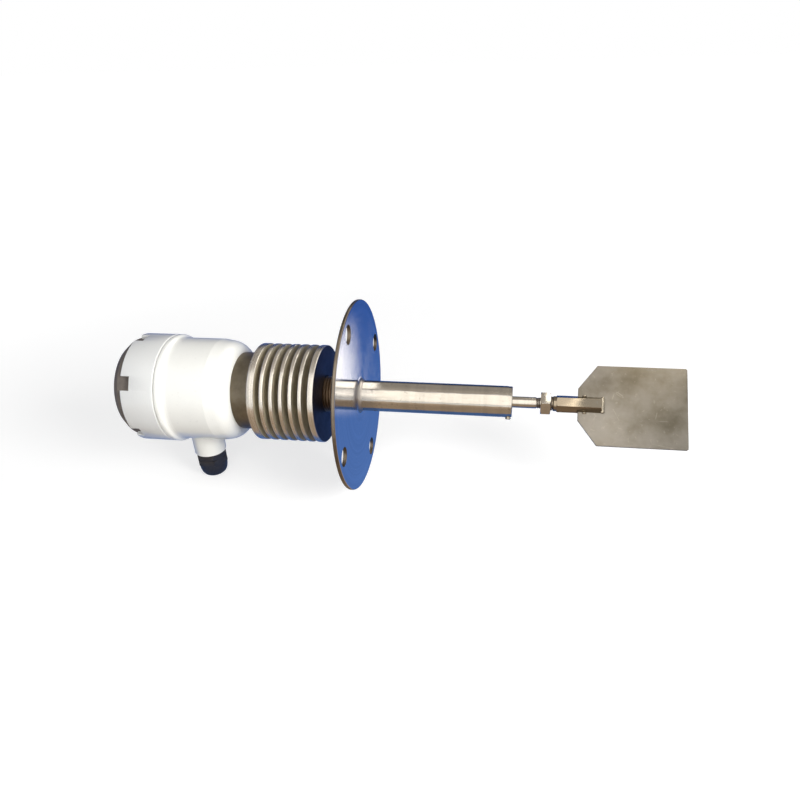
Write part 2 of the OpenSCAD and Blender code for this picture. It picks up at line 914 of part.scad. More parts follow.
module return_spring() {
    color("gainsboro")
        translate([spring_x, spring_y, 0]) {
            polyhedron(coil_points, coil_faces);
            spring_hook(0);
            spring_hook(spring_post_z);
            translate([-spring_coil_r, 0, coil_z0])
                rotate([0, 90, 0])
                    cylinder(h = 2 * spring_coil_r, r = spring_wire_r, $fn = 16);
            translate([-spring_coil_r, 0, coil_z1])
                rotate([0, 90, 0])
                    cylinder(h = 2 * spring_coil_r, r = spring_wire_r, $fn = 16);
            translate([0, 0, spring_hook_r])
                cylinder(h = coil_z0 - spring_hook_r, r = spring_wire_r, $fn = 16);
            translate([0, 0, coil_z1])
                cylinder(h = spring_post_z - spring_hook_r - coil_z1, r = spring_wire_r, $fn = 16);
        }
}

// Folded bracket that carries the two microswitches
switch_foot_y = [-31.4, -22];
switch_leg_z = -14.2;
switch_plate_y = -sqrt(pow(inner_r - 0.8, 2) - pow(switch_leg_z - bracket_t, 2));
module switch_bracket() {
    color("silver")
        difference() {
            union() {
                block(
                    [switch_plate_x, switch_plate_y, switch_leg_z - bracket_t],
                    [switch_plate_x + switch_plate_t, switch_end_y, upper_pivot_z + 8.4]
                );
                block(
                    [switch_plate_x, switch_foot_y[0], switch_leg_z - bracket_t],
                    [chassis_face_x, switch_foot_y[1], switch_leg_z]
                );
                block(
                    [chassis_face_x - bracket_t, switch_foot_y[0], switch_foot_screw_z - 2.8],
                    [chassis_face_x, switch_foot_y[1], switch_leg_z]
                );
            }
            block(
                [
                    switch_plate_x - 1,
                    -trip_r - trip_pin_r - window_margin,
                    lower_pivot_z + knuckle_r - window_margin
                ],
                [
                    switch_plate_x + switch_plate_t + 1,
                    -trip_r + trip_pin_r + window_margin,
                    upper_pivot_z - knuckle_r + 0.2
                ]
            );
            for (y = bracket_screws_y)
                translate([0, y, switch_foot_screw_z])
                    bar(chassis_face_x - bracket_t - 1, chassis_face_x + 1, 1.25 + seat_gap);
            for (z = switch_screw_z)
                for (y = switch_screw_y)
                    translate([0, y, z])
                        bar(switch_plate_x - 1, switch_plate_x + switch_plate_t + 1, 1 + seat_gap);
        }
}

// A microswitch body with the ears and pin of its lever, for the upper place
upper_base_z = upper_pivot_z - knuckle_r + lever_t + switch_gap;
switch_screw_y = [-32, -23];
switch_screw_z = [
    upper_base_z + switch_h / 2 + 0.6,
    lower_pivot_z - (upper_base_z - upper_pivot_z) - switch_h / 2 - 0.6
];

module switch_body(pivot_z, flip) {
    base = (upper_base_z - upper_pivot_z);
    low = flip ? pivot_z - base - switch_h : pivot_z + base;
    difference() {
        union() {
            block(
                [switch_x0 - switch_t, switch_end_y - switch_l, low],
                [switch_x0, switch_end_y, low + switch_h]
            );
            for (x = [switch_x0 - 0.7, switch_x0 - switch_t])
                block(
                    [x, switch_end_y - 1, pivot_z - (flip ? 2.4 : 0.9)],
                    [x + 0.7, lever_pivot_y + 0.9, pivot_z + (flip ? 0.9 : 2.4)]
                );
            translate([0, lever_pivot_y, pivot_z])
                bar(switch_x0 - switch_t + 0.3, switch_x0 - 0.3, 0.5);
        }
        for (y = switch_screw_y)
            translate([0, y, switch_screw_z[flip ? 1 : 0]])
                bar(switch_x0 - switch_t - 1, switch_x0 + 1, 1 + seat_gap);
    }
}

module upper_switch() {
    color("dimgray")
        switch_body(upper_pivot_z, false);
}

module lower_switch() {
    color("dimgray")
        switch_body(lower_pivot_z, true);
}

module switch_screws() {
    color("gainsboro")
        for (z = switch_screw_z)
            for (y = switch_screw_y)
                cover_screw(switch_x0 - switch_t, y, z, 1, 1.8, 1.2, switch_t + switch_plate_t);
}

// Spring-leaf lever of a microswitch: knuckle, strip and rolled tip
lever_mid_x = switch_x0 - switch_t / 2;
module lever(side) {
    translate([lever_mid_x - lever_w / 2, 0, 0])
        difference() {
            union() {
                rotate([0, 90, 0])
                    cylinder(h = lever_w, r = knuckle_r, $fn = small_fn);
                translate([0, -lever_l, side > 0 ? knuckle_r - lever_t : -knuckle_r])
                    cube([lever_w, lever_l, lever_t]);
            }
            translate([-1, 0, 0])
                rotate([0, 90, 0])
                    cylinder(h = lever_w + 2, r = knuckle_bore_r, $fn = small_fn);
        }
}

module upper_lever() {
    color("gainsboro")
        translate([0, lever_pivot_y, upper_pivot_z])
            lever(-1);
}

module lower_lever() {
    color("gainsboro")
        translate([0, lever_pivot_y, lower_pivot_z])
            rotate([-swing_max * lever_ratio, 0, 0])
                lever(1);
}

// Folded bracket and block for the field wiring
module terminal_bracket() {
    foot_w = 9;
    color("silver")
        difference() {
            union() {
                block(
                    [bracket_end_x, -block_w / 2, bracket_z],
                    [chassis_face_x, block_w / 2, bracket_z + bracket_t]
                );
                block(
                    [chassis_face_x - bracket_t, -foot_w, bracket_z],
                    [chassis_face_x, foot_w, terminal_foot_screw_z + 4]
                );
            }
            for (y = [-5, 5])
                translate([0, y, terminal_foot_screw_z])
                    bar(chassis_face_x - bracket_t - 1, chassis_face_x + 1, 1.5 + seat_gap);
        }
}

module terminal_block() {
    low_z = bracket_z + bracket_t;
    color("whitesmoke")
        difference() {
            union() {
                block(
                    [block_end_x, -block_w / 2, low_z],
                    [block_end_x + block_l, block_w / 2, low_z + block_h]
                );
                for (i = [0 : pole_count])
                    translate([
                        block_end_x - 1.5,
                        -block_w / 2 + i * pole_w - (i == 0 ? 0 : i == pole_count ? 0.8 : 0.4),
                        low_z
                    ])
                        cube([2, 0.8, block_h]);
            }
            for (i = [0 : pole_count - 1])
                translate([0, -block_w / 2 + (i + 0.5) * pole_w, 0]) {
                    translate([block_end_x + 6, 0, low_z + 1])
                        cylinder(h = block_h, r = 1.7, $fn = small_fn);
                    for (z = [low_z + 3, low_z + block_h - 3])
                        translate([0, 0, z])
                            bar(block_end_x - 1, block_end_x + 6, 2.1 + seat_gap);
                }
        }
}

module terminal_screws() {
    low_z = bracket_z + bracket_t;
    color("goldenrod")
        for (i = [0 : pole_count - 1])
            for (z = [low_z + 3, low_z + block_h - 3])
                cover_screw(block_end_x + 1.8, -block_w / 2 + (i + 0.5) * pole_w, z, 1.4, 2.1, 1.5, 3.4);
}

module earth_screw() {
    color("gold") {
        difference() {
            translate([0, earth_y, earth_z])
                bar(chassis_face_x - 1, chassis_face_x, 4);
            translate([0, earth_y, earth_z])
                bar(chassis_face_x - 2, chassis_face_x + 1, 2);
        }
        cover_screw(chassis_face_x - 1, earth_y, earth_z, 2, 3.5, 2.4, plate_t + 3);
    }
}

// Swinging motor carrier: plate, finger, trip pin and spring peg
module swing_plate() {
    color("silver")
        difference() {
            union() {
                bar(swing_face_x, swing_x, swing_disc_r);
                translate([0, gearbox_shift, 0])
                    bar(swing_face_x, swing_x, gearbox_r);
                block([swing_face_x, 0, -gearbox_r], [swing_x, gearbox_shift, gearbox_r]);
                block([swing_face_x, -finger_end, -finger_w / 2], [swing_x, 0, finger_w / 2]);
                translate([0, -trip_r, 0])
                    bar(switch_x0 - switch_t + 0.4, swing_x, trip_pin_r);
                translate([0, spring_y, 0])
                    bar(spring_x - 1.4, swing_x, spring_peg_r);
            }
            bar(swing_face_x - 1, swing_x + 1, boss_pivot_r + seat_gap);
            stop_slot();
            for (p = gearbox_screw_places)
                translate([0, p[0], p[1]])
                    bar(swing_face_x - 1, swing_x + 1, 1.5 + seat_gap);
        }
}

// Slot that lets the plate swing past the stop pin
module stop_slot() {
    slot_r = stop_pin_r + 0.1;
    half_l = stop_track_r * sin(swing_max / 2);
    rotate([-swing_max / 2, 0, 0])
        translate([0, 0, -stop_track_r * cos(swing_max / 2)]) {
            for (y = [-half_l, half_l])
                translate([0, y, 0])
                    bar(swing_face_x - 1, swing_x + 1, slot_r);
            block([swing_face_x - 1, -half_l, -slot_r], [swing_x + 1, half_l, slot_r]);
        }
}

gearbox_screw_places = [[26, 0], [11, 11.2], [11, -11.2]];

module gearbox_screws() {
    color("gainsboro")
        for (p = gearbox_screw_places)
            translate([swing_x, p[0], p[1]])
                mirror([1, 0, 0])
                    cover_screw(0, 0, 0, 1.5, 2.6, 1.7, plate_t + 5);
}

module gearbox() {
    color("slategray")
        difference() {
            union() {
                bar(gearbox_x, swing_face_x, gearbox_r);
                translate([0, gearbox_shift, 0])
                    bar(gearbox_x, swing_face_x, gearbox_r);
                block([gearbox_x, 0, -gearbox_r], [swing_face_x, gearbox_shift, gearbox_r]);
                bar(swing_face_x - eps, boss_end_x, boss_pivot_r);
            }
            bar(gearbox_x + 3, boss_end_x + 1, output_r + run_gap);
            tube(pivot_clip_x - 0.05, pivot_clip_x + clip_t + 0.05, boss_pivot_r + 1, boss_pivot_r - 0.6);
            for (p = gearbox_screw_places)
                translate([0, p[0], p[1]])
                    bar(swing_face_x - 6, swing_face_x + 1, 1.5 + seat_gap);
        }
}

// Motor can with its mounting ears and terminal tab
module motor() {
    ear_z = motor_d / 2 - 1;
    color("lightgray") {
        translate([0, motor_shift, 0]) {
            turned([
                [0, motor_x],
                [motor_d / 2 - 1.5, motor_x],
                [motor_d / 2, motor_x + 1.5],
                [motor_d / 2, gearbox_x],
                [0, gearbox_x]
            ]);
            bar(motor_x - 1.2, motor_x + eps, 6);
        }
    }
}

// Retaining ring on the gearbox boss
module pivot_clip() {
    color("dimgray")
        difference() {
            tube(pivot_clip_x, pivot_clip_x + clip_t, boss_pivot_r + 1.6, boss_pivot_r - 0.6 + seat_gap);
            block([pivot_clip_x - 1, -2, 0], [pivot_clip_x + clip_t + 1, 2, boss_pivot_r + 4]);
        }
}

// Drive line: output shaft, coupling and drive shaft
module output_shaft() {
    color("gainsboro")
        bar(gearbox_x + 3.3, output_end_x, output_r);
}

module coupling() {
    color("goldenrod")
        difference() {
            turned([
                [0, coupling_x],
                [coupling_r - 0.6, coupling_x],
                [coupling_r, coupling_x + 0.6],
                [coupling_r, coupling_end_x - 0.6],
                [coupling_r - 0.6, coupling_end_x],
                [0, coupling_end_x]
            ]);
            bar(coupling_x - 1, shaft_start_x, output_r + seat_gap);
            bar(shaft_start_x - eps, coupling_end_x + 1, shaft_r + seat_gap);
            for (x = coupling_screw_places)
                translate([x, 0, 0])
                    cylinder(h = coupling_r + 1, r = 1.25 + seat_gap, $fn = small_fn);
        }
}

coupling_screw_places = [(coupling_x + shaft_start_x) / 2, (shaft_start_x + coupling_end_x) / 2];

module coupling_screws() {
    color("dimgray")
        for (i = [0, 1])
            translate([coupling_screw_places[i], 0, (i == 0 ? output_r : shaft_r) + 0.1])
                difference() {
                    cylinder(h = 3, r = 1.25, $fn = small_fn);
                    translate([-2, -0.2, 2.2])
                        cube([4, 0.4, 2]);
                }
}

clip_places = [rear_bearing_x + bearing_w + 0.1, front_bearing_x - clip_t - 0.1];

module drive_shaft() {
    color("silver")
        difference() {
            turned([
                [0, shaft_start_x + 0.2],
                [shaft_r - 0.4, shaft_start_x + 0.2],
                [shaft_r, shaft_start_x + 0.6],
                [shaft_r, plain_end_x - 0.5],
                [shaft_r - 0.5, plain_end_x],
                [stud_d / 2, plain_end_x],
                [stud_d / 2, stud_end_x - 0.8],
                [stud_d / 2 - 0.8, stud_end_x],
                [0, stud_end_x]
            ]);
            for (x = clip_places)
                tube(x - 0.05, x + clip_t + 0.05, shaft_r + 1, clip_groove_r);
        }
}

module shaft_clips() {
    color("dimgray")
        for (x = clip_places)
            difference() {
                tube(x, x + clip_t, shaft_r + 0.95, clip_groove_r + seat_gap);
                block([x - 1, -1.5, 0], [x + clip_t + 1, 1.5, shaft_r + 4]);
            }
}

// Lock nut, spring washer and paddle
nut_turn = 3;
module lock_nut() {
    color("silver")
        difference() {
            hex_bar(nut_x, washer_x, nut_af, nut_turn);
            bar(nut_x - 1, washer_x + 1, stud_d / 2 + seat_gap);
        }
}

module spring_washer() {
    color("dimgray")
        difference() {
            tube(washer_x, sleeve_x, sleeve_af / 2 - 0.4, stud_d / 2 + 0.1);
            translate([washer_x - 1, 0, 3])
                rotate([0, 20, 0])
                    translate([-1, -0.5, 0])
                        cube([washer_t + 4, 1, 6]);
        }
}

// Turns a child with the blade
module at_blade() {
    rotate([-blade_turn, 0, 0])
        children();
}

module paddle_sleeve() {
    sleeve_corner_r = sleeve_af / sqrt(3);
    color("silver")
        at_blade()
            difference() {
                union() {
                    hex_bar(sleeve_x + sleeve_collar_l, sleeve_end_x, sleeve_af, 0, true, false);
                    turned([
                        [0, sleeve_x],
                        [sleeve_af / 2 - 0.8, sleeve_x],
                        [sleeve_af / 2 - 0.1, sleeve_x + 0.8],
                        [sleeve_af / 2 - 0.1, sleeve_x + sleeve_collar_l + 0.1],
                        [0, sleeve_x + sleeve_collar_l + 0.1]
                    ]);
                }
                bar(sleeve_x - 1, stud_end_x + 1, stud_d / 2 + seat_gap);
                block(
                    [blade_x, -blade_t / 2, -sleeve_corner_r - 1],
                    [sleeve_end_x + 1, blade_t / 2, sleeve_corner_r + 1]
                );
            }
}

module paddle_blade() {
    root = blade_root_w / 2;
    side = blade_w / 2;
    color("silver")
        at_blade()
            rotate([90, 0, 0])
                translate([blade_x, 0, -blade_t / 2])
                    linear_extrude(blade_t)
                        polygon([
                            [0, -root],
                            [blade_corner_l, -side],
                            [blade_l - 1, -side],
                            [blade_l, -side + 1],
                            [blade_l, side - 1],
                            [blade_l - 1, side],
                            [blade_corner_l, side],
                            [0, root]
                        ]);
}

// Weld beads: one at the sleeve's end on each face, and four tacks beside the sleeve
bead_l = 2.8;
module paddle_welds() {
    half = sleeve_af / 2 - 0.8;
    corner_r = sleeve_af / sqrt(3);
    color("gainsboro")
        at_blade()
            for (side = [-1, 1]) {
                difference() {
                    translate([sleeve_end_x, 0, 0])
                        rotate([0, 90, 0])
                            intersection() {
                                cylinder(h = bead_l, r1 = half + 0.7, r2 = half - 1.2);
                                translate([
                                    -sleeve_af,
                                    side > 0 ? blade_t / 2 : -sleeve_af - blade_t / 2,
                                    -1
                                ])
                                    cube([2 * sleeve_af, sleeve_af, bead_l + 2]);
                            }
                    translate([blade_x, -blade_t / 2, -sleeve_af])
                        cube([slot_l + 2 * bead_l, blade_t, 2 * sleeve_af]);
                }
                for (z = [-1, 1])
                    translate([blade_x + 5, side * (blade_t / 2 + 0.6), z * (corner_r - 0.1)])
                        difference() {
                            sphere(r = 1.4, $fn = small_fn);
                            translate([-5, side > 0 ? -5.6 : 0.6, -5])
                                cube([10, 5, 10]);
                            translate([-5, -side * (blade_t / 2 + 0.6) - 5, -z * (corner_r - 0.1)])
                                tack_clear(z);
                        }
            }
}

// Room that a tack bead leaves for the sleeve
module tack_clear(z) {
    sleeve_corner_r = sleeve_af / sqrt(3);
    translate([0, 5, 0])
        rotate([0, 90, 0])
            cylinder(h = 10, r = sleeve_corner_r, $fn = 6);
}

// Castellated cover ring, domed cap and flat gasket
module cover_ring() {
    notch_turn = 360 / notch_count;
    color("white")
        difference() {
            turned([
                [ring_bore_r, ring_x],
                [ring_d / 2 - 0.6, ring_x],
                [ring_d / 2, ring_x - 0.6],
                [ring_d / 2, ring_end_x + 0.8],
                [ring_d / 2 - 0.8, ring_end_x],
                [ring_lip_r, ring_end_x],
                [ring_lip_r, ring_lip_x],
                [ring_bore_r, ring_lip_x]
            ]);
            for (i = [0 : notch_count - 1])
                rotate([i * notch_turn, 0, 0])
                    block(
                        [ring_end_x - 1, -notch_w / 2, dome_r - 4],
                        [ring_end_x + notch_l, notch_w / 2, ring_d]
                    );
        }
}

module cover_cap() {
    color("gray")
        turned([
            [0, dome_end_x],
            [dome_end_d / 2 - 0.6, dome_end_x],
            [dome_end_d / 2, dome_end_x + 0.6],
            [dome_r, dome_bevel_x],
            [dome_r, ring_lip_x],
            [ring_bore_r - 0.15, ring_lip_x],
            [ring_bore_r - 0.15, cap_flange_x],
            [dome_r - cap_wall, cap_flange_x],
            [dome_r - cap_wall, dome_bevel_x + 0.8],
            [dome_end_d / 2 - cap_wall, dome_end_x + cap_wall + 0.8],
            [dome_end_d / 2 - cap_wall - 1, dome_end_x + cap_wall],
            [0, dome_end_x + cap_wall]
        ]);
}

module cover_gasket() {
    color("black")
        tube(cap_flange_x, spigot_end_x, spigot_r - 0.3, inner_r + 0.2);
}

housing();
heat_sink();
neck_lock_ring();
neck_nipple();
flange_plate();
flange_weld();
guide_tube();
end_bush();
bush_screw();
shaft_seal();
bearing_outer_rings();
bearing_balls();
gland_body();
gland_seal();
gland_nut();
chassis_pillars();
chassis_plate();
chassis_screws();
pivot_bush();
stop_pin();
spring_post();
return_spring();
switch_bracket();
upper_switch();
lower_switch();
switch_screws();
terminal_bracket();
terminal_block();
terminal_screws();
earth_screw();
swing_plate();
gearbox();
motor();
gearbox_screws();
pivot_clip();
upper_lever();
lower_lever();
output_shaft();
coupling();
coupling_screws();
drive_shaft();
shaft_clips();
bearing_inner_rings();
lock_nut();
spring_washer();
paddle_sleeve();
paddle_blade();
paddle_welds();
cover_ring();
cover_cap();
cover_gasket();
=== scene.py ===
"""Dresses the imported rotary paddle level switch: finishes, threads, welds, rounded edges and a studio."""
import json
import math

import bpy
from mathutils import Matrix, Vector

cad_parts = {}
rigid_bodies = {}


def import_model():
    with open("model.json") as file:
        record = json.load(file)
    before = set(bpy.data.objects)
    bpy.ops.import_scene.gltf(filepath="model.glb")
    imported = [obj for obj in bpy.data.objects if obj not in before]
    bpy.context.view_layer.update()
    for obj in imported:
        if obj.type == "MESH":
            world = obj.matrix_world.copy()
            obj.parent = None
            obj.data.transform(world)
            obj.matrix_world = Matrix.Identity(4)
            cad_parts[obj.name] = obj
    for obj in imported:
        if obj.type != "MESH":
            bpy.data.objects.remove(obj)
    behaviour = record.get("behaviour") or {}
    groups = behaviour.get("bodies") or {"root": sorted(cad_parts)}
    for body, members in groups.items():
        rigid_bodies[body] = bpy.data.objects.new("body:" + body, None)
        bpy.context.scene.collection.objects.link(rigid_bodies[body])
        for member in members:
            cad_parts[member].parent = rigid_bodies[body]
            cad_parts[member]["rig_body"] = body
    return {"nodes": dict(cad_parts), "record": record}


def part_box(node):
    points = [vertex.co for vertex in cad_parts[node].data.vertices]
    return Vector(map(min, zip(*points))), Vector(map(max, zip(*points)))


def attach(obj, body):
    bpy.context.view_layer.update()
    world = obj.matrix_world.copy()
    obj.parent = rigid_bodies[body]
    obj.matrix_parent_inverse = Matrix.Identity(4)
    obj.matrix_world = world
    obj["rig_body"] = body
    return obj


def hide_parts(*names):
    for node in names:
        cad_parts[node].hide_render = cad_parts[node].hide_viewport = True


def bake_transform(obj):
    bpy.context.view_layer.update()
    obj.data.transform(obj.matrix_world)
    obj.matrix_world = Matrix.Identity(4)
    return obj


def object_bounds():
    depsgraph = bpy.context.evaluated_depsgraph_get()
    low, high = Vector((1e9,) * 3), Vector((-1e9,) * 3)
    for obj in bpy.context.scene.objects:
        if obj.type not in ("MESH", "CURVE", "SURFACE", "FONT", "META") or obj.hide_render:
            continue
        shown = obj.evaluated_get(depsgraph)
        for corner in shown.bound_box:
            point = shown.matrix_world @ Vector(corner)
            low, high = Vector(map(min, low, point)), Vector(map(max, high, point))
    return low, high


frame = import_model()
CAD_BOX = [list(corner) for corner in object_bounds()]

bl_info = {
    "name": "Rotary Paddle Level Switch",
    "version": (1, 0, 0),
    "blender": (4, 5, 0),
    "location": "View3D > Sidebar > Level Switch",
    "description": "Dresses the level switch's solids and lights it in a small studio",
    "category": "Object",
}

MM = 0.001
SLOT_OF = {s["node"]: s["material_slot"] for s in frame["record"]["subparts"]}
BOLTS = next(m["dims"] for m in frame["record"]["mounts"] if m["name"] == "flange_bolts")

# Turns about the shaft, and places along it and distances from it that finishes change at, in metres.
BOLT_CIRCLE = BOLTS["pcd_mm"] / 2 * MM
BOLT_HOLE = BOLTS["hole_r_mm"] * MM
BOLT_TURN = math.radians(27)
BLADE_TURN = math.radians(45)
FLANGE_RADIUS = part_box("flange_plate")[1].z
FLANGE_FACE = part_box("flange_plate")[1].x
FIN_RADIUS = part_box("heat_sink")[1].z
FIN_FACE = -29.0 * MM
NECK_END = -82.7 * MM
RING_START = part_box("cover_ring")[1].x
NUT_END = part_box("lock_nut")[1].x

# The photo's viewpoint, fitted to the flange, the tube and the housing.
CAMERA_PLACE = Vector((0.1297989, -0.4685088, 0.2552479))
CAMERA_RIGHT = Vector((0.9889848, 0.1450723, -0.0293793))
CAMERA_DOWN = Vector((0.0476206, -0.4997818, -0.8648413))
CAMERA_FORWARD = Vector((-0.1401478, 0.8539158, -0.5011850))
CAMERA_LENS = 29.9455
CAMERA_SHIFT = (-0.031675, 0.023815)


def linear(r, g, b):
    """An sRGB colour from 0 to 255 as linear values."""
    out = []
    for v in (r, g, b):
        v /= 255
        out.append(v / 12.92 if v <= 0.04045 else ((v + 0.055) / 1.055) ** 2.4)
    return (*out, 1.0)


# ---------------------------------------------------------------- settings


class FinishSettings(bpy.types.PropertyGroup):
    white_coat: bpy.props.FloatVectorProperty(
        name="White Coat", description="Colour of the housing's powder coat",
        subtype="COLOR", size=4, min=0, max=1, default=linear(242, 242, 237))
    cap_skin: bpy.props.FloatVectorProperty(
        name="Cap", description="Colour of the cover's bare cap",
        subtype="COLOR", size=4, min=0, max=1, default=linear(112, 105, 99))
    fin_metal: bpy.props.FloatVectorProperty(
        name="Fins", description="Colour of the turned heat sink",
        subtype="COLOR", size=4, min=0, max=1, default=linear(204, 200, 191))
    flange_steel: bpy.props.FloatVectorProperty(
        name="Flange", description="Colour of the polished flange",
        subtype="COLOR", size=4, min=0, max=1, default=linear(212, 214, 222))
    tube_steel: bpy.props.FloatVectorProperty(
        name="Tube", description="Colour of the ground guide tube and shaft",
        subtype="COLOR", size=4, min=0, max=1, default=linear(184, 179, 169))
    blade_steel: bpy.props.FloatVectorProperty(
        name="Paddle", description="Colour of the matt paddle blade",
        subtype="COLOR", size=4, min=0, max=1, default=linear(112, 105, 90))


class ThreadSettings(bpy.types.PropertyGroup):
    nipple_pitch: bpy.props.FloatProperty(
        name="Nipple Pitch", description="Distance between two ridges of the nipple's thread",
        unit="LENGTH", min=0.001, max=0.004, default=0.0023)
    stud_pitch: bpy.props.FloatProperty(
        name="Stud Pitch", description="Distance between two ridges of the shaft's thread",
        unit="LENGTH", min=0.0005, max=0.002, default=0.00125)
    edge_round: bpy.props.FloatProperty(
        name="Edge Rounding", description="Width of the rounding on cast edges",
        unit="LENGTH", min=0.0001, max=0.001, default=0.0006)


class StudioSettings(bpy.types.PropertyGroup):
    floor_height: bpy.props.FloatProperty(
        name="Floor Height", description="Height of the floor in the part's frame",
        unit="LENGTH", default=CAD_BOX[0][2] - 0.0002)
    window_power: bpy.props.FloatProperty(
        name="Window Power", description="Power of the soft lamp high in front",
        subtype="POWER", min=0, default=4.0)
    side_power: bpy.props.FloatProperty(
        name="Side Power", description="Power of the soft lamp on the paddle's side",
        subtype="POWER", min=0, default=20.0)
    room_light: bpy.props.FloatProperty(
        name="Room Light", description="Strength of the even light from all round",
        min=0, max=2, default=0.38)


def finish():
    return bpy.context.scene.levelswitch_finish


# ---------------------------------------------------------------- node groups


def new_group(name, inputs, outputs):
    tree = bpy.data.node_groups.new(name, "ShaderNodeTree")
    for label, kind, value in inputs:
        socket = tree.interface.new_socket(name=label, in_out="INPUT", socket_type=kind)
        socket.default_value = value
    for label, kind in outputs:
        tree.interface.new_socket(name=label, in_out="OUTPUT", socket_type=kind)
    return tree, tree.nodes.new("NodeGroupInput"), tree.nodes.new("NodeGroupOutput")


def math_node(tree, operation, a, b=None, c=None):
    node = tree.nodes.new("ShaderNodeMath")
    node.operation = operation
    for socket, value in zip(node.inputs, (a, b, c)):
        if value is None:
            continue
        if isinstance(value, (int, float)):
            socket.default_value = value
        else:
            tree.links.new(value, socket)
    return node.outputs[0]


def object_place(tree):
    return tree.nodes.new("ShaderNodeTexCoord").outputs["Object"]


def split_place(tree, place=None):
    """A place as separate X, Y and Z."""
    node = tree.nodes.new("ShaderNodeSeparateXYZ")
    tree.links.new(place or object_place(tree), node.inputs[0])
    return node.outputs


def shaft_distance(tree, place):
    """Distance from the X axis, along which the shaft lies."""
    squares = [math_node(tree, "POWER", place[axis], 2.0) for axis in "YZ"]
    return math_node(tree, "SQRT", math_node(tree, "ADD", *squares))


def noise(tree, place, scale, detail=3.0, rough=0.5, kind="3D"):
    node = tree.nodes.new("ShaderNodeTexNoise")
    node.noise_dimensions = kind
    node.inputs["Detail"].default_value = detail
    node.inputs["Roughness"].default_value = rough
    if isinstance(scale, (int, float)):
        node.inputs["Scale"].default_value = scale
    else:
        tree.links.new(scale, node.inputs["Scale"])
    tree.links.new(place, node.inputs["Vector"])
    return node.outputs["Fac"]


def stretch(tree, value, low, high, out_low=0.0, out_high=1.0):
    node = tree.nodes.new("ShaderNodeMapRange")
    node.interpolation_type = "SMOOTHSTEP"
    for label, number in (("From Min", low), ("From Max", high), ("To Min", out_low), ("To Max", out_high)):
        node.inputs[label].default_value = number
    tree.links.new(value, node.inputs["Value"])
    return node.outputs["Result"]


def colour_mix(tree, mask, low, high):
    """Blends two colours, each a value or a socket; a Mix node keeps its colour sockets after the others."""
    node = tree.nodes.new("ShaderNodeMix")
    node.data_type = "RGBA"
    for socket, value in ((node.inputs[6], low), (node.inputs[7], high)):
        if isinstance(value, (tuple, list)):
            socket.default_value = value
        else:
            tree.links.new(value, socket)
    tree.links.new(mask, node.inputs[0])
    return node.outputs[2]


def build_grain_group():
    """Fine even grain, such as powder coat, cast skin and moulded plastic."""
    tree, gin, gout = new_group(
        "even_grain", [("Scale", "NodeSocketFloat", 900.0)], [("Height", "NodeSocketFloat")])
    place = object_place(tree)
    fine = noise(tree, place, gin.outputs["Scale"], 2.0, 0.6)
    coarse = noise(tree, place, math_node(tree, "MULTIPLY", gin.outputs["Scale"], 0.35), 1.0, 0.5)
    shares = [math_node(tree, "MULTIPLY", fine, 0.6), math_node(tree, "MULTIPLY", coarse, 0.4)]
    tree.links.new(math_node(tree, "ADD", *shares), gout.inputs["Height"])
    return tree


def build_lathe_group():
    """Rings left by a lathe: across turned sides by X, and across turned faces by radius."""
    tree, gin, gout = new_group(
        "lathe_rings", [("Density", "NodeSocketFloat", 3000.0)],
        [("Rings", "NodeSocketFloat"), ("Bands", "NodeSocketFloat")])
    place = split_place(tree)
    radius = shaft_distance(tree, place)
    for label, factor, detail in (("Rings", 1.0, 4.0), ("Bands", 0.07, 2.0)):
        join = tree.nodes.new("ShaderNodeCombineXYZ")
        density = math_node(tree, "MULTIPLY", gin.outputs["Density"], factor)
        tree.links.new(math_node(tree, "MULTIPLY", place["X"], density), join.inputs["X"])
        tree.links.new(math_node(tree, "MULTIPLY", radius, density), join.inputs["Y"])
        tree.links.new(noise(tree, join.outputs[0], 1.0, detail, 0.65, "2D"), gout.inputs[label])
    return tree


def build_brush_group():
    """Long fine scratches along X with a little drift, as on brushed sheet."""
    tree, gin, gout = new_group(
        "brushed_sheet", [("Density", "NodeSocketFloat", 2200.0)],
        [("Lines", "NodeSocketFloat"), ("Streaks", "NodeSocketFloat")])
    for label, along, across in (("Lines", 0.03, 1.0), ("Streaks", 0.02, 0.12)):
        mapping = tree.nodes.new("ShaderNodeVectorMath")
        mapping.operation = "MULTIPLY"
        tree.links.new(object_place(tree), mapping.inputs[0])
        mapping.inputs[1].default_value = (along, across, across)
        tree.links.new(noise(tree, mapping.outputs[0], gin.outputs["Density"], 3.0, 0.6), gout.inputs[label])
    return tree


def build_mottle_group():
    """Soft cloudy patches and small sparse spots."""
    tree, gin, gout = new_group(
        "mottle", [("Scale", "NodeSocketFloat", 40.0), ("Spot Scale", "NodeSocketFloat", 260.0)],
        [("Clouds", "NodeSocketFloat"), ("Spots", "NodeSocketFloat")])
    place = object_place(tree)
    clouds = noise(tree, place, gin.outputs["Scale"], 5.0, 0.58)
    tree.links.new(stretch(tree, clouds, 0.34, 0.66), gout.inputs["Clouds"])
    spots = noise(tree, place, gin.outputs["Spot Scale"], 1.0, 0.4)
    tree.links.new(stretch(tree, spots, 0.68, 0.76), gout.inputs["Spots"])
    return tree


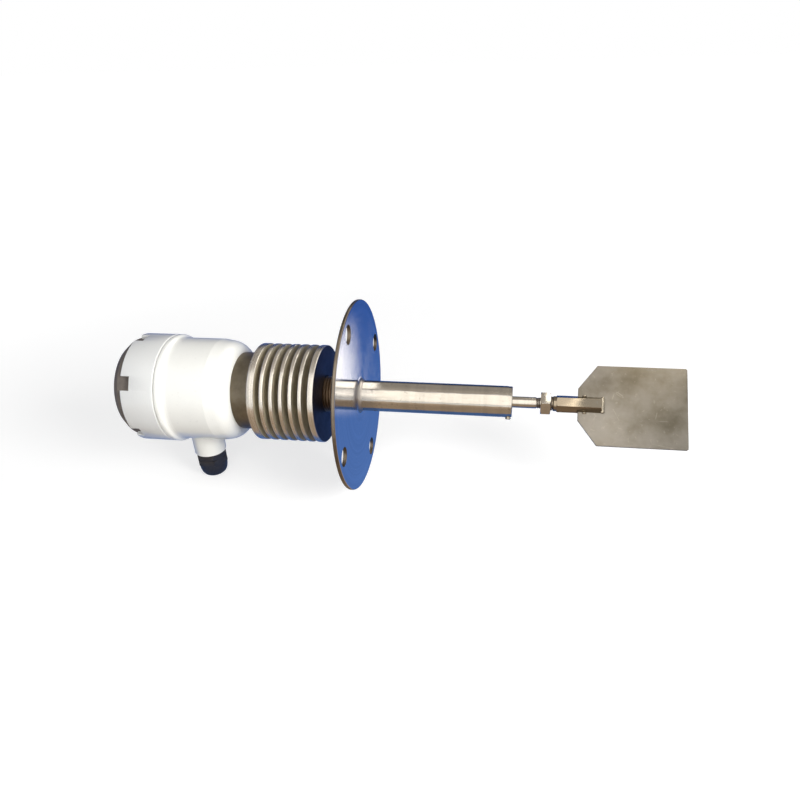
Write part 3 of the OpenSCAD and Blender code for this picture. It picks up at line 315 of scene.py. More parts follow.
def build_scuff_group():
    """Sparse thin scratches in all directions."""
    tree, gin, gout = new_group(
        "scuffs", [("Scale", "NodeSocketFloat", 60.0)], [("Scuffs", "NodeSocketFloat")])
    place = object_place(tree)
    total = None
    for turn, size in (((0.4, 0.9, 0.3), 1.0), ((1.3, 0.2, 1.1), 1.7)):
        mapping = tree.nodes.new("ShaderNodeMapping")
        mapping.inputs["Rotation"].default_value = turn
        mapping.inputs["Scale"].default_value = (1.0, 0.35, 1.0)
        tree.links.new(place, mapping.inputs["Vector"])
        cells = tree.nodes.new("ShaderNodeTexVoronoi")
        cells.feature = "DISTANCE_TO_EDGE"
        tree.links.new(math_node(tree, "MULTIPLY", gin.outputs["Scale"], size), cells.inputs["Scale"])
        tree.links.new(mapping.outputs[0], cells.inputs["Vector"])
        line = stretch(tree, cells.outputs["Distance"], 0.004, 0.02, 1, 0)
        patches = noise(tree, place, math_node(tree, "MULTIPLY", gin.outputs["Scale"], size * 1.3), 2.0)
        line = math_node(tree, "MULTIPLY", line, stretch(tree, patches, 0.60, 0.70))
        total = line if total is None else math_node(tree, "MAXIMUM", total, line)
    tree.links.new(total, gout.inputs["Scuffs"])
    return tree


def build_hole_group():
    """Distance from the nearest of four places that lie evenly round the X axis."""
    tree, gin, gout = new_group(
        "bolt_places", [("Radius", "NodeSocketFloat", 0.065), ("Turn", "NodeSocketFloat", 0.0)],
        [("Distance", "NodeSocketFloat")])
    turned = tree.nodes.new("ShaderNodeVectorRotate")
    turned.rotation_type = "X_AXIS"
    tree.links.new(object_place(tree), turned.inputs["Vector"])
    tree.links.new(gin.outputs["Turn"], turned.inputs["Angle"])
    place = split_place(tree, turned.outputs[0])
    side = math_node(tree, "MULTIPLY", gin.outputs["Radius"], math.sqrt(0.5))
    squares = []
    for axis in "YZ":
        off = math_node(tree, "SUBTRACT", math_node(tree, "ABSOLUTE", place[axis]), side)
        squares.append(math_node(tree, "POWER", math_node(tree, "ABSOLUTE", off), 2.0))
    tree.links.new(math_node(tree, "SQRT", math_node(tree, "ADD", *squares)), gout.inputs["Distance"])
    return tree


GROUP_BUILDERS = {
    "even_grain": build_grain_group,
    "lathe_rings": build_lathe_group,
    "brushed_sheet": build_brush_group,
    "mottle": build_mottle_group,
    "scuffs": build_scuff_group,
    "bolt_places": build_hole_group,
}


# ---------------------------------------------------------------- materials


class Finish:
    """A material with one Principled shader, filled in a step at a time."""

    def __init__(self, name, **constants):
        self.mat = bpy.data.materials.new("finish_" + name)
        self.mat.use_nodes = True
        self.tree = self.mat.node_tree
        self.shader = self.tree.nodes["Principled BSDF"]
        for label, value in constants.items():
            self.shader.inputs[label.replace("_", " ")].default_value = value

    def group(self, name, **values):
        node = self.tree.nodes.new("ShaderNodeGroup")
        node.node_tree = bpy.data.node_groups.get(name) or GROUP_BUILDERS[name]()
        for label, value in values.items():
            node.inputs[label.replace("_", " ")].default_value = value
        return node.outputs

    def mix(self, mask, low, high):
        return colour_mix(self.tree, mask, low, high)

    def tone(self, colour, factor):
        """The same colour, lighter or darker."""
        return tuple(min(v * factor, 1.0) for v in colour[:3]) + (1.0,)

    def band(self, value, low, high, out_low, out_high):
        return stretch(self.tree, value, low, high, out_low, out_high)

    def math(self, operation, a, b):
        return math_node(self.tree, operation, a, b)

    def place(self):
        """Place along the shaft, and distance from it."""
        place = split_place(self.tree)
        return place["X"], shaft_distance(self.tree, place)

    def bump(self, height, strength, distance):
        node = self.tree.nodes.new("ShaderNodeBump")
        node.inputs["Strength"].default_value = strength
        node.inputs["Distance"].default_value = distance
        self.tree.links.new(height, node.inputs["Height"])
        self.tree.links.new(node.outputs["Normal"], self.shader.inputs["Normal"])
        return self

    def feed(self, label, value):
        self.tree.links.new(value, self.shader.inputs[label])
        return self


def white_coat():
    """Glossy powder coat; the cover ring is painted a little greyer than the housing, as painted shade."""
    f = Finish("white_coat", Coat_Weight=0.8, Coat_Roughness=0.14, Specular_IOR_Level=0.5)
    base = tuple(finish().white_coat)
    clouds, spots = f.group("mottle", Scale=28.0, Spot_Scale=420.0)
    colour = f.mix(f.math("MULTIPLY", clouds, 0.5), base, f.tone(base, 0.955))
    colour = f.mix(f.math("MULTIPLY", spots, 0.25), colour, f.tone(base, 0.8))
    along, _ = f.place()
    # The cover ring is mixed towards grey: painted shade on the same white coat.
    cover = f.band(along, RING_START - 0.2 * MM, RING_START, 1, 0)
    colour = f.mix(f.math("MULTIPLY", cover, 0.6), colour, linear(206, 208, 210))
    grain = f.group("even_grain", Scale=1500.0)["Height"]
    f.feed("Base Color", colour)
    f.feed("Roughness", f.band(clouds, 0, 1, 0.36, 0.46))
    f.bump(grain, 0.28, 0.0004)
    return f.mat


def bare_cover():
    """Matt grey-brown cast skin."""
    f = Finish("bare_cover", Metallic=0.15, Specular_IOR_Level=0.2)
    base = tuple(finish().cap_skin)
    clouds, spots = f.group("mottle", Scale=70.0, Spot_Scale=520.0)
    colour = f.mix(clouds, f.tone(base, 0.86), f.tone(base, 1.12))
    f.feed("Base Color", f.mix(f.math("MULTIPLY", spots, 0.5), colour, f.tone(base, 0.6)))
    f.feed("Roughness", f.band(clouds, 0, 1, 0.48, 0.66))
    f.bump(f.group("even_grain", Scale=1100.0)["Height"], 0.45, 0.0005)
    return f.mat


def machined_aluminium():
    """Bright turned rims; the grooves are dull; the neck carries painted shade, and the end face painted shade
    with a bluish painted reflection.
    """
    f = Finish("machined_aluminium")
    base = tuple(finish().fin_metal)
    rings, bands = f.group("lathe_rings", Density=5200.0)
    clouds, spots = f.group("mottle", Scale=55.0, Spot_Scale=300.0)
    along, radius = f.place()
    rim = f.band(radius, FIN_RADIUS - 0.8 * MM, FIN_RADIUS - 0.3 * MM, 0, 1)
    # The neck between the housing and the fins is painted darker: painted shade.
    neck = f.band(along, NECK_END - 0.5 * MM, NECK_END + 0.5 * MM, 1, 0)
    # The right end face is painted dark blue-grey: painted shade with a bluish painted reflection.
    end = f.band(along, FIN_FACE - 0.2 * MM, FIN_FACE + 0.2 * MM, 0, 1)
    bright = f.math("MAXIMUM", rim, f.math("MAXIMUM", neck, end))
    colour = f.mix(f.band(bands, 0.3, 0.7, 0, 1), f.tone(base, 0.9), f.tone(base, 1.1))
    colour = f.mix(f.math("MULTIPLY", clouds, 0.3), colour, f.tone(base, 0.8))
    dull = f.mix(clouds, linear(160, 150, 126), linear(184, 173, 148))
    # Painted shade for the neck.
    neck_shade = f.mix(clouds, linear(98, 91, 77), linear(120, 112, 97))
    # Painted shade with a bluish painted reflection for the end face.
    end_shade = f.mix(clouds, linear(66, 66, 80), linear(84, 84, 98))
    f.feed("Base Color", f.mix(rim, f.mix(end, f.mix(neck, dull, neck_shade), end_shade), colour))
    f.feed("Metallic", f.band(bright, 0, 1, 0.1, 1))
    rough = f.math("ADD", f.band(rings, 0.3, 0.7, 0.2, 0.3), f.math("MULTIPLY", spots, 0.1))
    f.feed("Roughness", f.math("ADD", rough, f.band(rim, 0, 1, 0.22, 0)))
    f.bump(rings, 0.35, 0.0002)
    return f.mat


def nipple_steel():
    """Dark turned steel."""
    f = Finish("nipple_steel", Metallic=1.0)
    base = linear(128, 110, 90)
    rough = 0.34
    rings, bands = f.group("lathe_rings", Density=3600.0)
    clouds, _ = f.group("mottle", Scale=55.0, Spot_Scale=300.0)
    colour = f.mix(f.band(bands, 0.3, 0.7, 0, 1), f.tone(base, 0.88), f.tone(base, 1.12))
    f.feed("Base Color", f.mix(f.math("MULTIPLY", clouds, 0.35), colour, f.tone(base, 0.82)))
    turned = f.band(rings, 0.3, 0.7, rough * 0.8, rough * 1.2)
    f.feed("Roughness", f.math("ADD", turned, f.band(clouds, 0, 1, 0, rough * 0.3)))
    f.bump(rings, 0.25, 0.0002)
    return f.mat


def polished_stainless():
    """Buffed plate; the fillet is duller, and the rim and the walls of the bolt holes stay raw."""
    f = Finish("polished_stainless", Metallic=1.0)
    base = tuple(finish().flange_steel)
    rings, bands = f.group("lathe_rings", Density=2600.0)
    clouds, spots = f.group("mottle", Scale=34.0, Spot_Scale=380.0)
    along, radius = f.place()
    rim = f.band(radius, FLANGE_RADIUS - 0.6 * MM, FLANGE_RADIUS - 0.2 * MM, 0, 1)
    distance = f.group("bolt_places", Radius=BOLT_CIRCLE, Turn=BOLT_TURN)["Distance"]
    hole = f.band(distance, BOLT_HOLE + 0.1 * MM, BOLT_HOLE + 0.4 * MM, 1, 0)
    raw = f.math("MAXIMUM", rim, hole)
    fillet = f.band(along, FLANGE_FACE + 0.1 * MM, FLANGE_FACE + 0.4 * MM, 0, 1)
    colour = f.mix(f.band(bands, 0.3, 0.7, 0, 1), f.tone(base, 0.93), f.tone(base, 1.05))
    colour = f.mix(f.math("MULTIPLY", spots, 0.35), colour, f.tone(base, 0.7))
    colour = f.mix(f.math("MULTIPLY", fillet, 0.75), colour, linear(150, 140, 124))
    f.feed("Base Color", f.mix(raw, colour, f.mix(clouds, linear(96, 88, 78), linear(126, 117, 104))))
    polish = f.math("ADD", f.band(rings, 0.3, 0.7, 0.05, 0.09), f.band(clouds, 0, 1, 0, 0.06))
    polish = f.math("ADD", polish, f.math("MULTIPLY", fillet, 0.26))
    f.feed("Roughness", f.math("ADD", polish, f.math("MULTIPLY", raw, 0.3)))
    f.bump(rings, 0.12, 0.0002)
    return f.mat


def tube_stainless():
    """Ground tube: fine rings, and long low waves that make a reflected edge run unevenly.

    The shaft beyond the lock nut and the paddle's sleeve are painted darker, as painted shade.
    """
    f = Finish("tube_stainless", Metallic=1.0)
    base = tuple(finish().tube_steel)
    rings, bands = f.group("lathe_rings", Density=1900.0)
    clouds, spots = f.group("mottle", Scale=55.0, Spot_Scale=300.0)
    lines, streaks = f.group("brushed_sheet", Density=1500.0)
    colour = f.mix(f.band(bands, 0.3, 0.7, 0, 1), f.tone(base, 0.95), f.tone(base, 1.05))
    colour = f.mix(f.math("MULTIPLY", f.band(streaks, 0.4, 0.7, 0, 1), 0.35), colour, f.tone(base, 0.72))
    along, _ = f.place()
    # Beyond the lock nut the steel is mixed towards brown: painted shade.
    far = f.band(along, NUT_END, NUT_END + 1 * MM, 0, 1)
    colour = f.mix(f.math("MULTIPLY", far, 0.8), colour, linear(126, 113, 92))
    f.feed("Base Color", f.mix(f.math("MULTIPLY", spots, 0.4), colour, f.tone(base, 0.6)))
    f.feed("Roughness", f.math("ADD", f.band(streaks, 0.3, 0.7, 0.07, 0.15), f.band(clouds, 0, 1, 0, 0.05)))
    height = f.math("ADD", f.math("MULTIPLY", rings, 0.08), f.math("MULTIPLY", streaks, 0.5))
    f.bump(f.math("ADD", height, f.math("MULTIPLY", lines, 0.04)), 0.3, 0.0008)
    return f.mat


def paddle_stainless():
    """Rolled sheet, dulled by weather, with cloudy patches and sparse scratches."""
    f = Finish("paddle_stainless", Metallic=1.0)
    base = tuple(finish().blade_steel)
    clouds, spots = f.group("mottle", Scale=38.0, Spot_Scale=420.0)
    drift, _ = f.group("mottle", Scale=19.0, Spot_Scale=300.0)
    lines, _ = f.group("brushed_sheet", Density=2600.0)
    scuffs = f.group("scuffs", Scale=46.0)["Scuffs"]
    colour = f.mix(clouds, f.tone(base, 0.86), f.tone(base, 1.12))
    colour = f.mix(f.math("MULTIPLY", drift, 0.55), colour, linear(158, 155, 150))
    colour = f.mix(f.math("MULTIPLY", scuffs, 0.22), colour, linear(186, 180, 166))
    f.feed("Base Color", f.mix(f.math("MULTIPLY", spots, 0.15), colour, linear(180, 174, 160)))
    f.feed("Roughness", f.math("ADD", f.band(clouds, 0, 1, 0.36, 0.48), f.band(lines, 0.3, 0.7, 0, 0.05)))
    height = f.math("ADD", f.math("MULTIPLY", drift, 0.9), f.math("MULTIPLY", lines, 0.05))
    f.bump(f.math("SUBTRACT", height, f.math("MULTIPLY", scuffs, 0.02)), 0.35, 0.0008)
    return f.mat


def plain_steel(name, base, rough, density=2400.0):
    """Small metal pieces with faint scratches."""
    f = Finish(name, Metallic=1.0)
    clouds, spots = f.group("mottle", Scale=90.0, Spot_Scale=500.0)
    lines, _ = f.group("brushed_sheet", Density=density)
    f.feed("Base Color", f.mix(clouds, f.tone(base, 0.86), f.tone(base, 1.08)))
    patches = f.band(clouds, 0, 1, rough * 0.85, rough * 1.2)
    f.feed("Roughness", f.math("ADD", patches, f.math("MULTIPLY", spots, 0.1)))
    f.bump(lines, 0.15, 0.0002)
    return f.mat


def moulded(name, base, rough, grain_scale=1800.0, specular=0.4):
    """Moulded plastic or rubber."""
    f = Finish(name, Specular_IOR_Level=specular)
    clouds, spots = f.group("mottle", Scale=80.0, Spot_Scale=600.0)
    colour = f.mix(clouds, f.tone(base, 0.85), f.tone(base, 1.2))
    f.feed("Base Color", f.mix(f.math("MULTIPLY", spots, 0.3), colour, f.tone(base, 1.8)))
    f.feed("Roughness", f.band(clouds, 0, 1, rough * 0.85, rough * 1.15))
    f.bump(f.group("even_grain", Scale=grain_scale)["Height"], 0.3, 0.0003)
    return f.mat


def zinc_sheet():
    """Plated sheet with a faint yellow passivation."""
    f = Finish("zinc_sheet", Metallic=1.0)
    base = linear(176, 182, 188)
    clouds, _ = f.group("mottle", Scale=130.0, Spot_Scale=500.0)
    lines, streaks = f.group("brushed_sheet", Density=1800.0)
    colour = f.mix(clouds, f.tone(base, 0.8), f.tone(base, 1.1))
    f.feed("Base Color", f.mix(f.math("MULTIPLY", streaks, 0.35), colour, linear(190, 186, 160)))
    f.feed("Roughness", f.band(clouds, 0, 1, 0.26, 0.42))
    f.bump(lines, 0.15, 0.0002)
    return f.mat


FINISH_BUILDERS = {
    "white_coat": white_coat,
    "bare_cover": bare_cover,
    "machined_aluminium": machined_aluminium,
    "nipple_steel": nipple_steel,
    "polished_stainless": polished_stainless,
    "tube_stainless": tube_stainless,
    "paddle_stainless": paddle_stainless,
    "bright_steel": lambda: plain_steel("bright_steel", linear(168, 160, 144), 0.24),
    "dark_steel": lambda: plain_steel("dark_steel", linear(92, 84, 76), 0.36),
    "zinc_sheet": zinc_sheet,
    "motor_steel": lambda: plain_steel("motor_steel", linear(168, 170, 172), 0.3),
    "gearbox_zinc": lambda: plain_steel("gearbox_zinc", linear(148, 150, 154), 0.5, 900.0),
    "bronze": lambda: plain_steel("bronze", linear(168, 128, 78), 0.38),
    "brass": lambda: plain_steel("brass", linear(206, 172, 104), 0.24),
    "black_nylon": lambda: moulded("black_nylon", linear(40, 40, 44), 0.42),
    "switch_plastic": lambda: moulded("switch_plastic", linear(58, 58, 60), 0.4),
    "terminal_plastic": lambda: moulded("terminal_plastic", linear(222, 216, 202), 0.45, specular=0.5),
    "seal_rubber": lambda: moulded("seal_rubber", linear(38, 37, 36), 0.62, 900.0, 0.3),
}


MADE = {}


def material(slot):
    """The finish of a slot, made once."""
    if slot not in MADE:
        MADE[slot] = FINISH_BUILDERS[slot]()
    return MADE[slot]


def dress_node(node):
    """Gives a carried-over solid the finish of its slot."""
    mesh = frame["nodes"][node].data
    mat = material(SLOT_OF[node])
    if not mesh.materials:
        mesh.materials.append(mat)
    for i in range(len(mesh.materials)):
        mesh.materials[i] = mat


# ---------------------------------------------------------------- modelling helpers


def object_mode():
    if bpy.context.object and bpy.context.object.mode != "OBJECT":
        bpy.ops.object.mode_set(mode="OBJECT")
    bpy.ops.object.select_all(action="DESELECT")


def pick(obj):
    object_mode()
    obj.select_set(True)
    bpy.context.view_layer.objects.active = obj


def settle(obj):
    """Puts the piece's place and turn into its mesh."""
    pick(obj)
    bpy.ops.object.transform_apply(location=True, rotation=True, scale=True)


def finish_piece(obj, name, slot, body, angle=35.0, replaced=()):
    """Names, dresses and smooths a piece, and ties it to its body when it is given one."""
    settle(obj)
    obj.name = name
    obj.data.name = name
    obj.data.materials.clear()
    obj.data.materials.append(material(slot))
    bpy.ops.object.shade_smooth_by_angle(angle=math.radians(angle))
    if body:
        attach(obj, body)
    if replaced:
        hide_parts(*replaced)
    return obj


def apply_modifiers(obj):
    pick(obj)
    for name in [m.name for m in obj.modifiers]:
        bpy.ops.object.modifier_apply(modifier=name)


def tidy_mesh(merge=0.000005):
    """In edit mode: merges doubles and turns the faces outwards."""
    bpy.ops.mesh.select_all(action="SELECT")
    bpy.ops.mesh.remove_doubles(threshold=merge)
    bpy.ops.mesh.normals_make_consistent(inside=False)


def profile_object(points):
    """A chain of edges through points of place along X and radius, drawn in the XZ plane."""
    object_mode()
    bpy.ops.mesh.primitive_plane_add(size=0.001, location=(0, 0, 0))
    obj = bpy.context.object
    bpy.ops.object.mode_set(mode="EDIT")
    bpy.ops.mesh.select_mode(type="VERT")
    bpy.ops.mesh.select_all(action="SELECT")
    bpy.ops.mesh.merge(type="CENTER")
    bpy.ops.mesh.select_all(action="SELECT")
    bpy.ops.transform.translate(value=(points[0][0], 0, points[0][1]))
    for (x0, r0), (x1, r1) in zip(points[:-1], points[1:]):
        bpy.ops.mesh.extrude_region_move(TRANSFORM_OT_translate={"value": (x1 - x0, 0, r1 - r0)})
    bpy.ops.mesh.select_all(action="SELECT")
    return obj


def spun(points, steps=96):
    """A closed turned piece about the X axis from a profile in metres."""
    obj = profile_object(points)
    bpy.ops.mesh.spin(steps=steps, angle=2 * math.pi, center=(0, 0, 0), axis=(1, 0, 0))
    tidy_mesh()
    bpy.ops.object.mode_set(mode="OBJECT")
    return obj


def screwed(points, pitch, steps=96, turns=1, angle=2 * math.pi):
    """A helical sweep of a profile about the X axis."""
    obj = profile_object(points)
    bpy.ops.object.mode_set(mode="OBJECT")
    screw = obj.modifiers.new("thread", "SCREW")
    screw.axis = "X"
    screw.angle = angle
    screw.screw_offset = pitch
    screw.steps = steps
    screw.render_steps = steps
    screw.iterations = turns
    screw.use_merge_vertices = True
    screw.merge_threshold = 0.000005
    apply_modifiers(obj)
    return obj


def thread_profile(start, end, pitch, root, crest):
    """Ridges with narrow flats, from start to end along X: up, a flat, down, and a flat root in each pitch."""
    points = [(start, root)]
    x = start
    while x + pitch <= end + 1e-9:
        points += [(x + pitch * 0.36, crest), (x + pitch * 0.58, crest)]
        points += [(x + pitch * 0.94, root), (x + pitch, root)]
        x += pitch
    return points


def joined(pieces):
    object_mode()
    for piece in pieces:
        piece.select_set(True)
    bpy.context.view_layer.objects.active = pieces[0]
    bpy.ops.object.join()
    return pieces[0]


def copied_node(node):
    """A merged copy of a solid's mesh, ready for rounding."""
    source = frame["nodes"][node]
    object_mode()
    obj = bpy.data.objects.new(node + "_copy", source.data.copy())
    bpy.context.scene.collection.objects.link(obj)
    pick(obj)
    bpy.ops.object.mode_set(mode="EDIT")
    tidy_mesh(0.00002)
    bpy.ops.mesh.dissolve_limited(angle_limit=math.radians(1.0), use_dissolve_boundaries=False)
    bpy.ops.object.mode_set(mode="OBJECT")
    return obj


def rounded_node(node, width, name, angle=30.0, segments=3, smooth=40.0):
    """A copy of a solid with its sharp edges rounded, which stands for that solid."""
    obj = copied_node(node)
    bevel = obj.modifiers.new("round", "BEVEL")
    bevel.width = width
    bevel.segments = segments
    bevel.limit_method = "ANGLE"
    bevel.angle_limit = math.radians(angle)
    bevel.use_clamp_overlap = True
    bevel.harden_normals = False
    apply_modifiers(obj)
    body = frame["nodes"][node]["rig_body"]
    return finish_piece(obj, name, SLOT_OF[node], body, smooth, (node,))


# ---------------------------------------------------------------- operators


class LEVELSWITCH_OT_solids(bpy.types.Operator):
    """Give every carried-over solid its finish"""

    bl_idname = "levelswitch.solids"
    bl_label = "Finish Solids"

    def execute(self, context):
        for node in frame["nodes"]:
            dress_node(node)
        return {"FINISHED"}


class LEVELSWITCH_OT_nipple(bpy.types.Operator):
    """Cut the nipple's thread beside the flange"""

    bl_idname = "levelswitch.nipple"
    bl_label = "Threaded Nipple"

    def execute(self, context):
        pitch = context.scene.levelswitch_threads.nipple_pitch
        low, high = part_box("neck_nipple")
        crest, bore = high.z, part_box("guide_tube")[1].z
        start, waist, chamfer = high.x - 2.2 * MM, crest - 1.25 * MM, crest - 1.55 * MM
        collar = spun([(start, bore), (start, waist), (high.x - 0.3 * MM, waist), (high.x, chamfer),
                       (high.x, bore), (start, bore)], 72)
        ridges = thread_profile(low.x, high.x - 2.0 * MM - pitch, pitch, crest - 1.2 * MM, crest)
        piece = joined([screwed(ridges, pitch, 72), collar])
        finish_piece(piece, "nipple_thread", "nipple_steel", "body", 30.0, ("neck_nipple",))
        return {"FINISHED"}


class LEVELSWITCH_OT_stud(bpy.types.Operator):
    """Cut the thread ahead of the lock nut and coil the spring washer"""

    bl_idname = "levelswitch.stud"
    bl_label = "Stud Thread and Washer"

    def execute(self, context):
        pitch = context.scene.levelswitch_threads.stud_pitch
        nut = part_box("lock_nut")[0].x
        stud = 4.0 * MM
        ridges = thread_profile(nut - 3.0 * MM, nut + 0.6 * MM, pitch, stud - 0.05 * MM, stud + 0.35 * MM)
        finish_piece(screwed(ridges, pitch, 48), "stud_thread", "dark_steel", "paddle", 30.0)
        low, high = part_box("spring_washer")
        inner, outer, broken = stud + 0.15 * MM, high.z - 0.05 * MM, 0.15 * MM
        x0, x1 = low.x + 0.02 * MM, low.x + 1.18 * MM
        section = [(x0, inner), (x0, outer - broken), (x0 + broken, outer), (x1 - broken, outer),
                   (x1, outer - broken), (x1, inner), (x0, inner)]
        coil = screwed(section, high.x - x1 - 0.02 * MM, 60, 1, math.radians(350))
        pick(coil)
        bpy.ops.object.mode_set(mode="EDIT")
        bpy.ops.mesh.select_all(action="DESELECT")
        bpy.ops.mesh.select_non_manifold()
        bpy.ops.mesh.fill_holes(sides=0)
        tidy_mesh()
        bpy.ops.object.mode_set(mode="OBJECT")
        finish_piece(coil, "split_washer", "dark_steel", "paddle", 30.0, ("spring_washer",))
        return {"FINISHED"}


class LEVELSWITCH_OT_edges(bpy.types.Operator):
    """Round the edges of the cast, turned and folded pieces that catch the light"""

    bl_idname = "levelswitch.edges"
    bl_label = "Rounded Pieces"

    def execute(self, context):
        width = context.scene.levelswitch_threads.edge_round
        rounded_node("cover_ring", width, "ring_rounded")
        rounded_node("cover_cap", width, "cap_rounded", 22.0)
        rounded_node("gland_nut", 0.5 * MM, "gland_nut_rounded", 20.0)
        rounded_node("gland_body", 0.35 * MM, "gland_body_rounded", 20.0)
        rounded_node("lock_nut", 0.25 * MM, "lock_nut_rounded", 20.0)
        rounded_node("paddle_sleeve", 0.25 * MM, "sleeve_rounded", 25.0)
        rounded_node("paddle_blade", 0.3 * MM, "blade_rounded", 30.0)
        rounded_node("heat_sink", 0.45 * MM, "heat_sink_rounded", 35.0)
        rounded_node("flange_plate", 0.25 * MM, "flange_broken_edges", 40.0, 1, 20.0)
        return {"FINISHED"}


class LEVELSWITCH_OT_fillet(bpy.types.Operator):
    """Blend the guide tube into the flange with a buffed weld fillet"""

    bl_idname = "levelswitch.fillet"
    bl_label = "Flange Fillet"

    def execute(self, context):
        low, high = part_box("flange_weld")
        tube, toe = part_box("guide_tube")[1].z, high.z
        start, leg = FLANGE_FACE + 0.01 * MM, 3.4 * MM
        points = [(low.x, tube), (low.x, toe), (FLANGE_FACE - 0.2 * MM, toe), (start, toe + 0.4 * MM),
                  (start, tube + leg + 0.2 * MM)]
        for degrees in range(0, 95, 5):
            a = math.radians(degrees)
            points.append((start + leg * (1 - math.cos(a)), tube + leg - (leg - 0.02 * MM) * math.sin(a)))
        points += [(start + leg, tube), (low.x, tube)]
        finish_piece(spun(points, 128), "flange_fillet", "polished_stainless", "body", 50.0, ("flange_weld",))
        return {"FINISHED"}


class LEVELSWITCH_OT_spring(bpy.types.Operator):
    """Give the return spring a merged, smoothed copy that stands in for its solid"""

    bl_idname = "levelswitch.spring"
    bl_label = "Return Spring"

    def execute(self, context):
        node = "return_spring"
        spring = finish_piece(copied_node(node), "spring_coil", SLOT_OF[node], None, 40.0, (node,))
        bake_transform(spring)
        return {"FINISHED"}


class LEVELSWITCH_OT_welds(bpy.types.Operator):
    """Lay the paddle's weld beads"""

    bl_idname = "levelswitch.welds"
    bl_label = "Paddle Welds"

    def bead(self, centre, size, turn):
        object_mode()
        bpy.ops.mesh.primitive_ico_sphere_add(subdivisions=3, location=centre, rotation=(turn, 0, 0))
        obj = bpy.context.object
        obj.scale = size
        settle(obj)
        return obj

    def execute(self, context):
        seam = Vector((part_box("paddle_sleeve")[1].x + 0.9 * MM, 0, 0))
        tack = Vector((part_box("paddle_blade")[0].x + 5.0 * MM, 0, 0))
        lean = BLADE_TURN
        along = Vector((0, math.sin(lean), math.cos(lean)))
        out = Vector((0, -math.cos(lean), math.sin(lean)))
        beads = []
        for side in (-1, 1):
            turn = -lean if side > 0 else math.pi - lean
            for i in range(7):
                t = (i - 3) / 3
                height = (4.1 - 1.9 * t * t) * MM * 0.72
                spot = seam + along * (t * 5.2 * MM) + out * (side * (1.0 * MM + height * 0.25))
                beads.append(self.bead(spot, (1.9 * MM, 1.35 * MM, height), turn))
            for edge in (-1, 1):
                spot = tack + along * (edge * 6.9 * MM) + out * (side * 1.1 * MM)
                beads.append(self.bead(spot, (1.7 * MM, 1.25 * MM, 0.9 * MM), -lean))
        obj = joined(beads)
        ripple = obj.modifiers.new("ripple", "DISPLACE")
        texture = bpy.data.textures.new("bead_ripple", "CLOUDS")
        texture.noise_scale = 0.0012
        ripple.texture = texture
        ripple.texture_coords = "GLOBAL"
        ripple.strength = 0.0004
        ripple.mid_level = 0.5
        apply_modifiers(obj)
        finish_piece(obj, "weld_beads", "bright_steel", "paddle", 60.0, ("paddle_welds",))
        return {"FINISHED"}


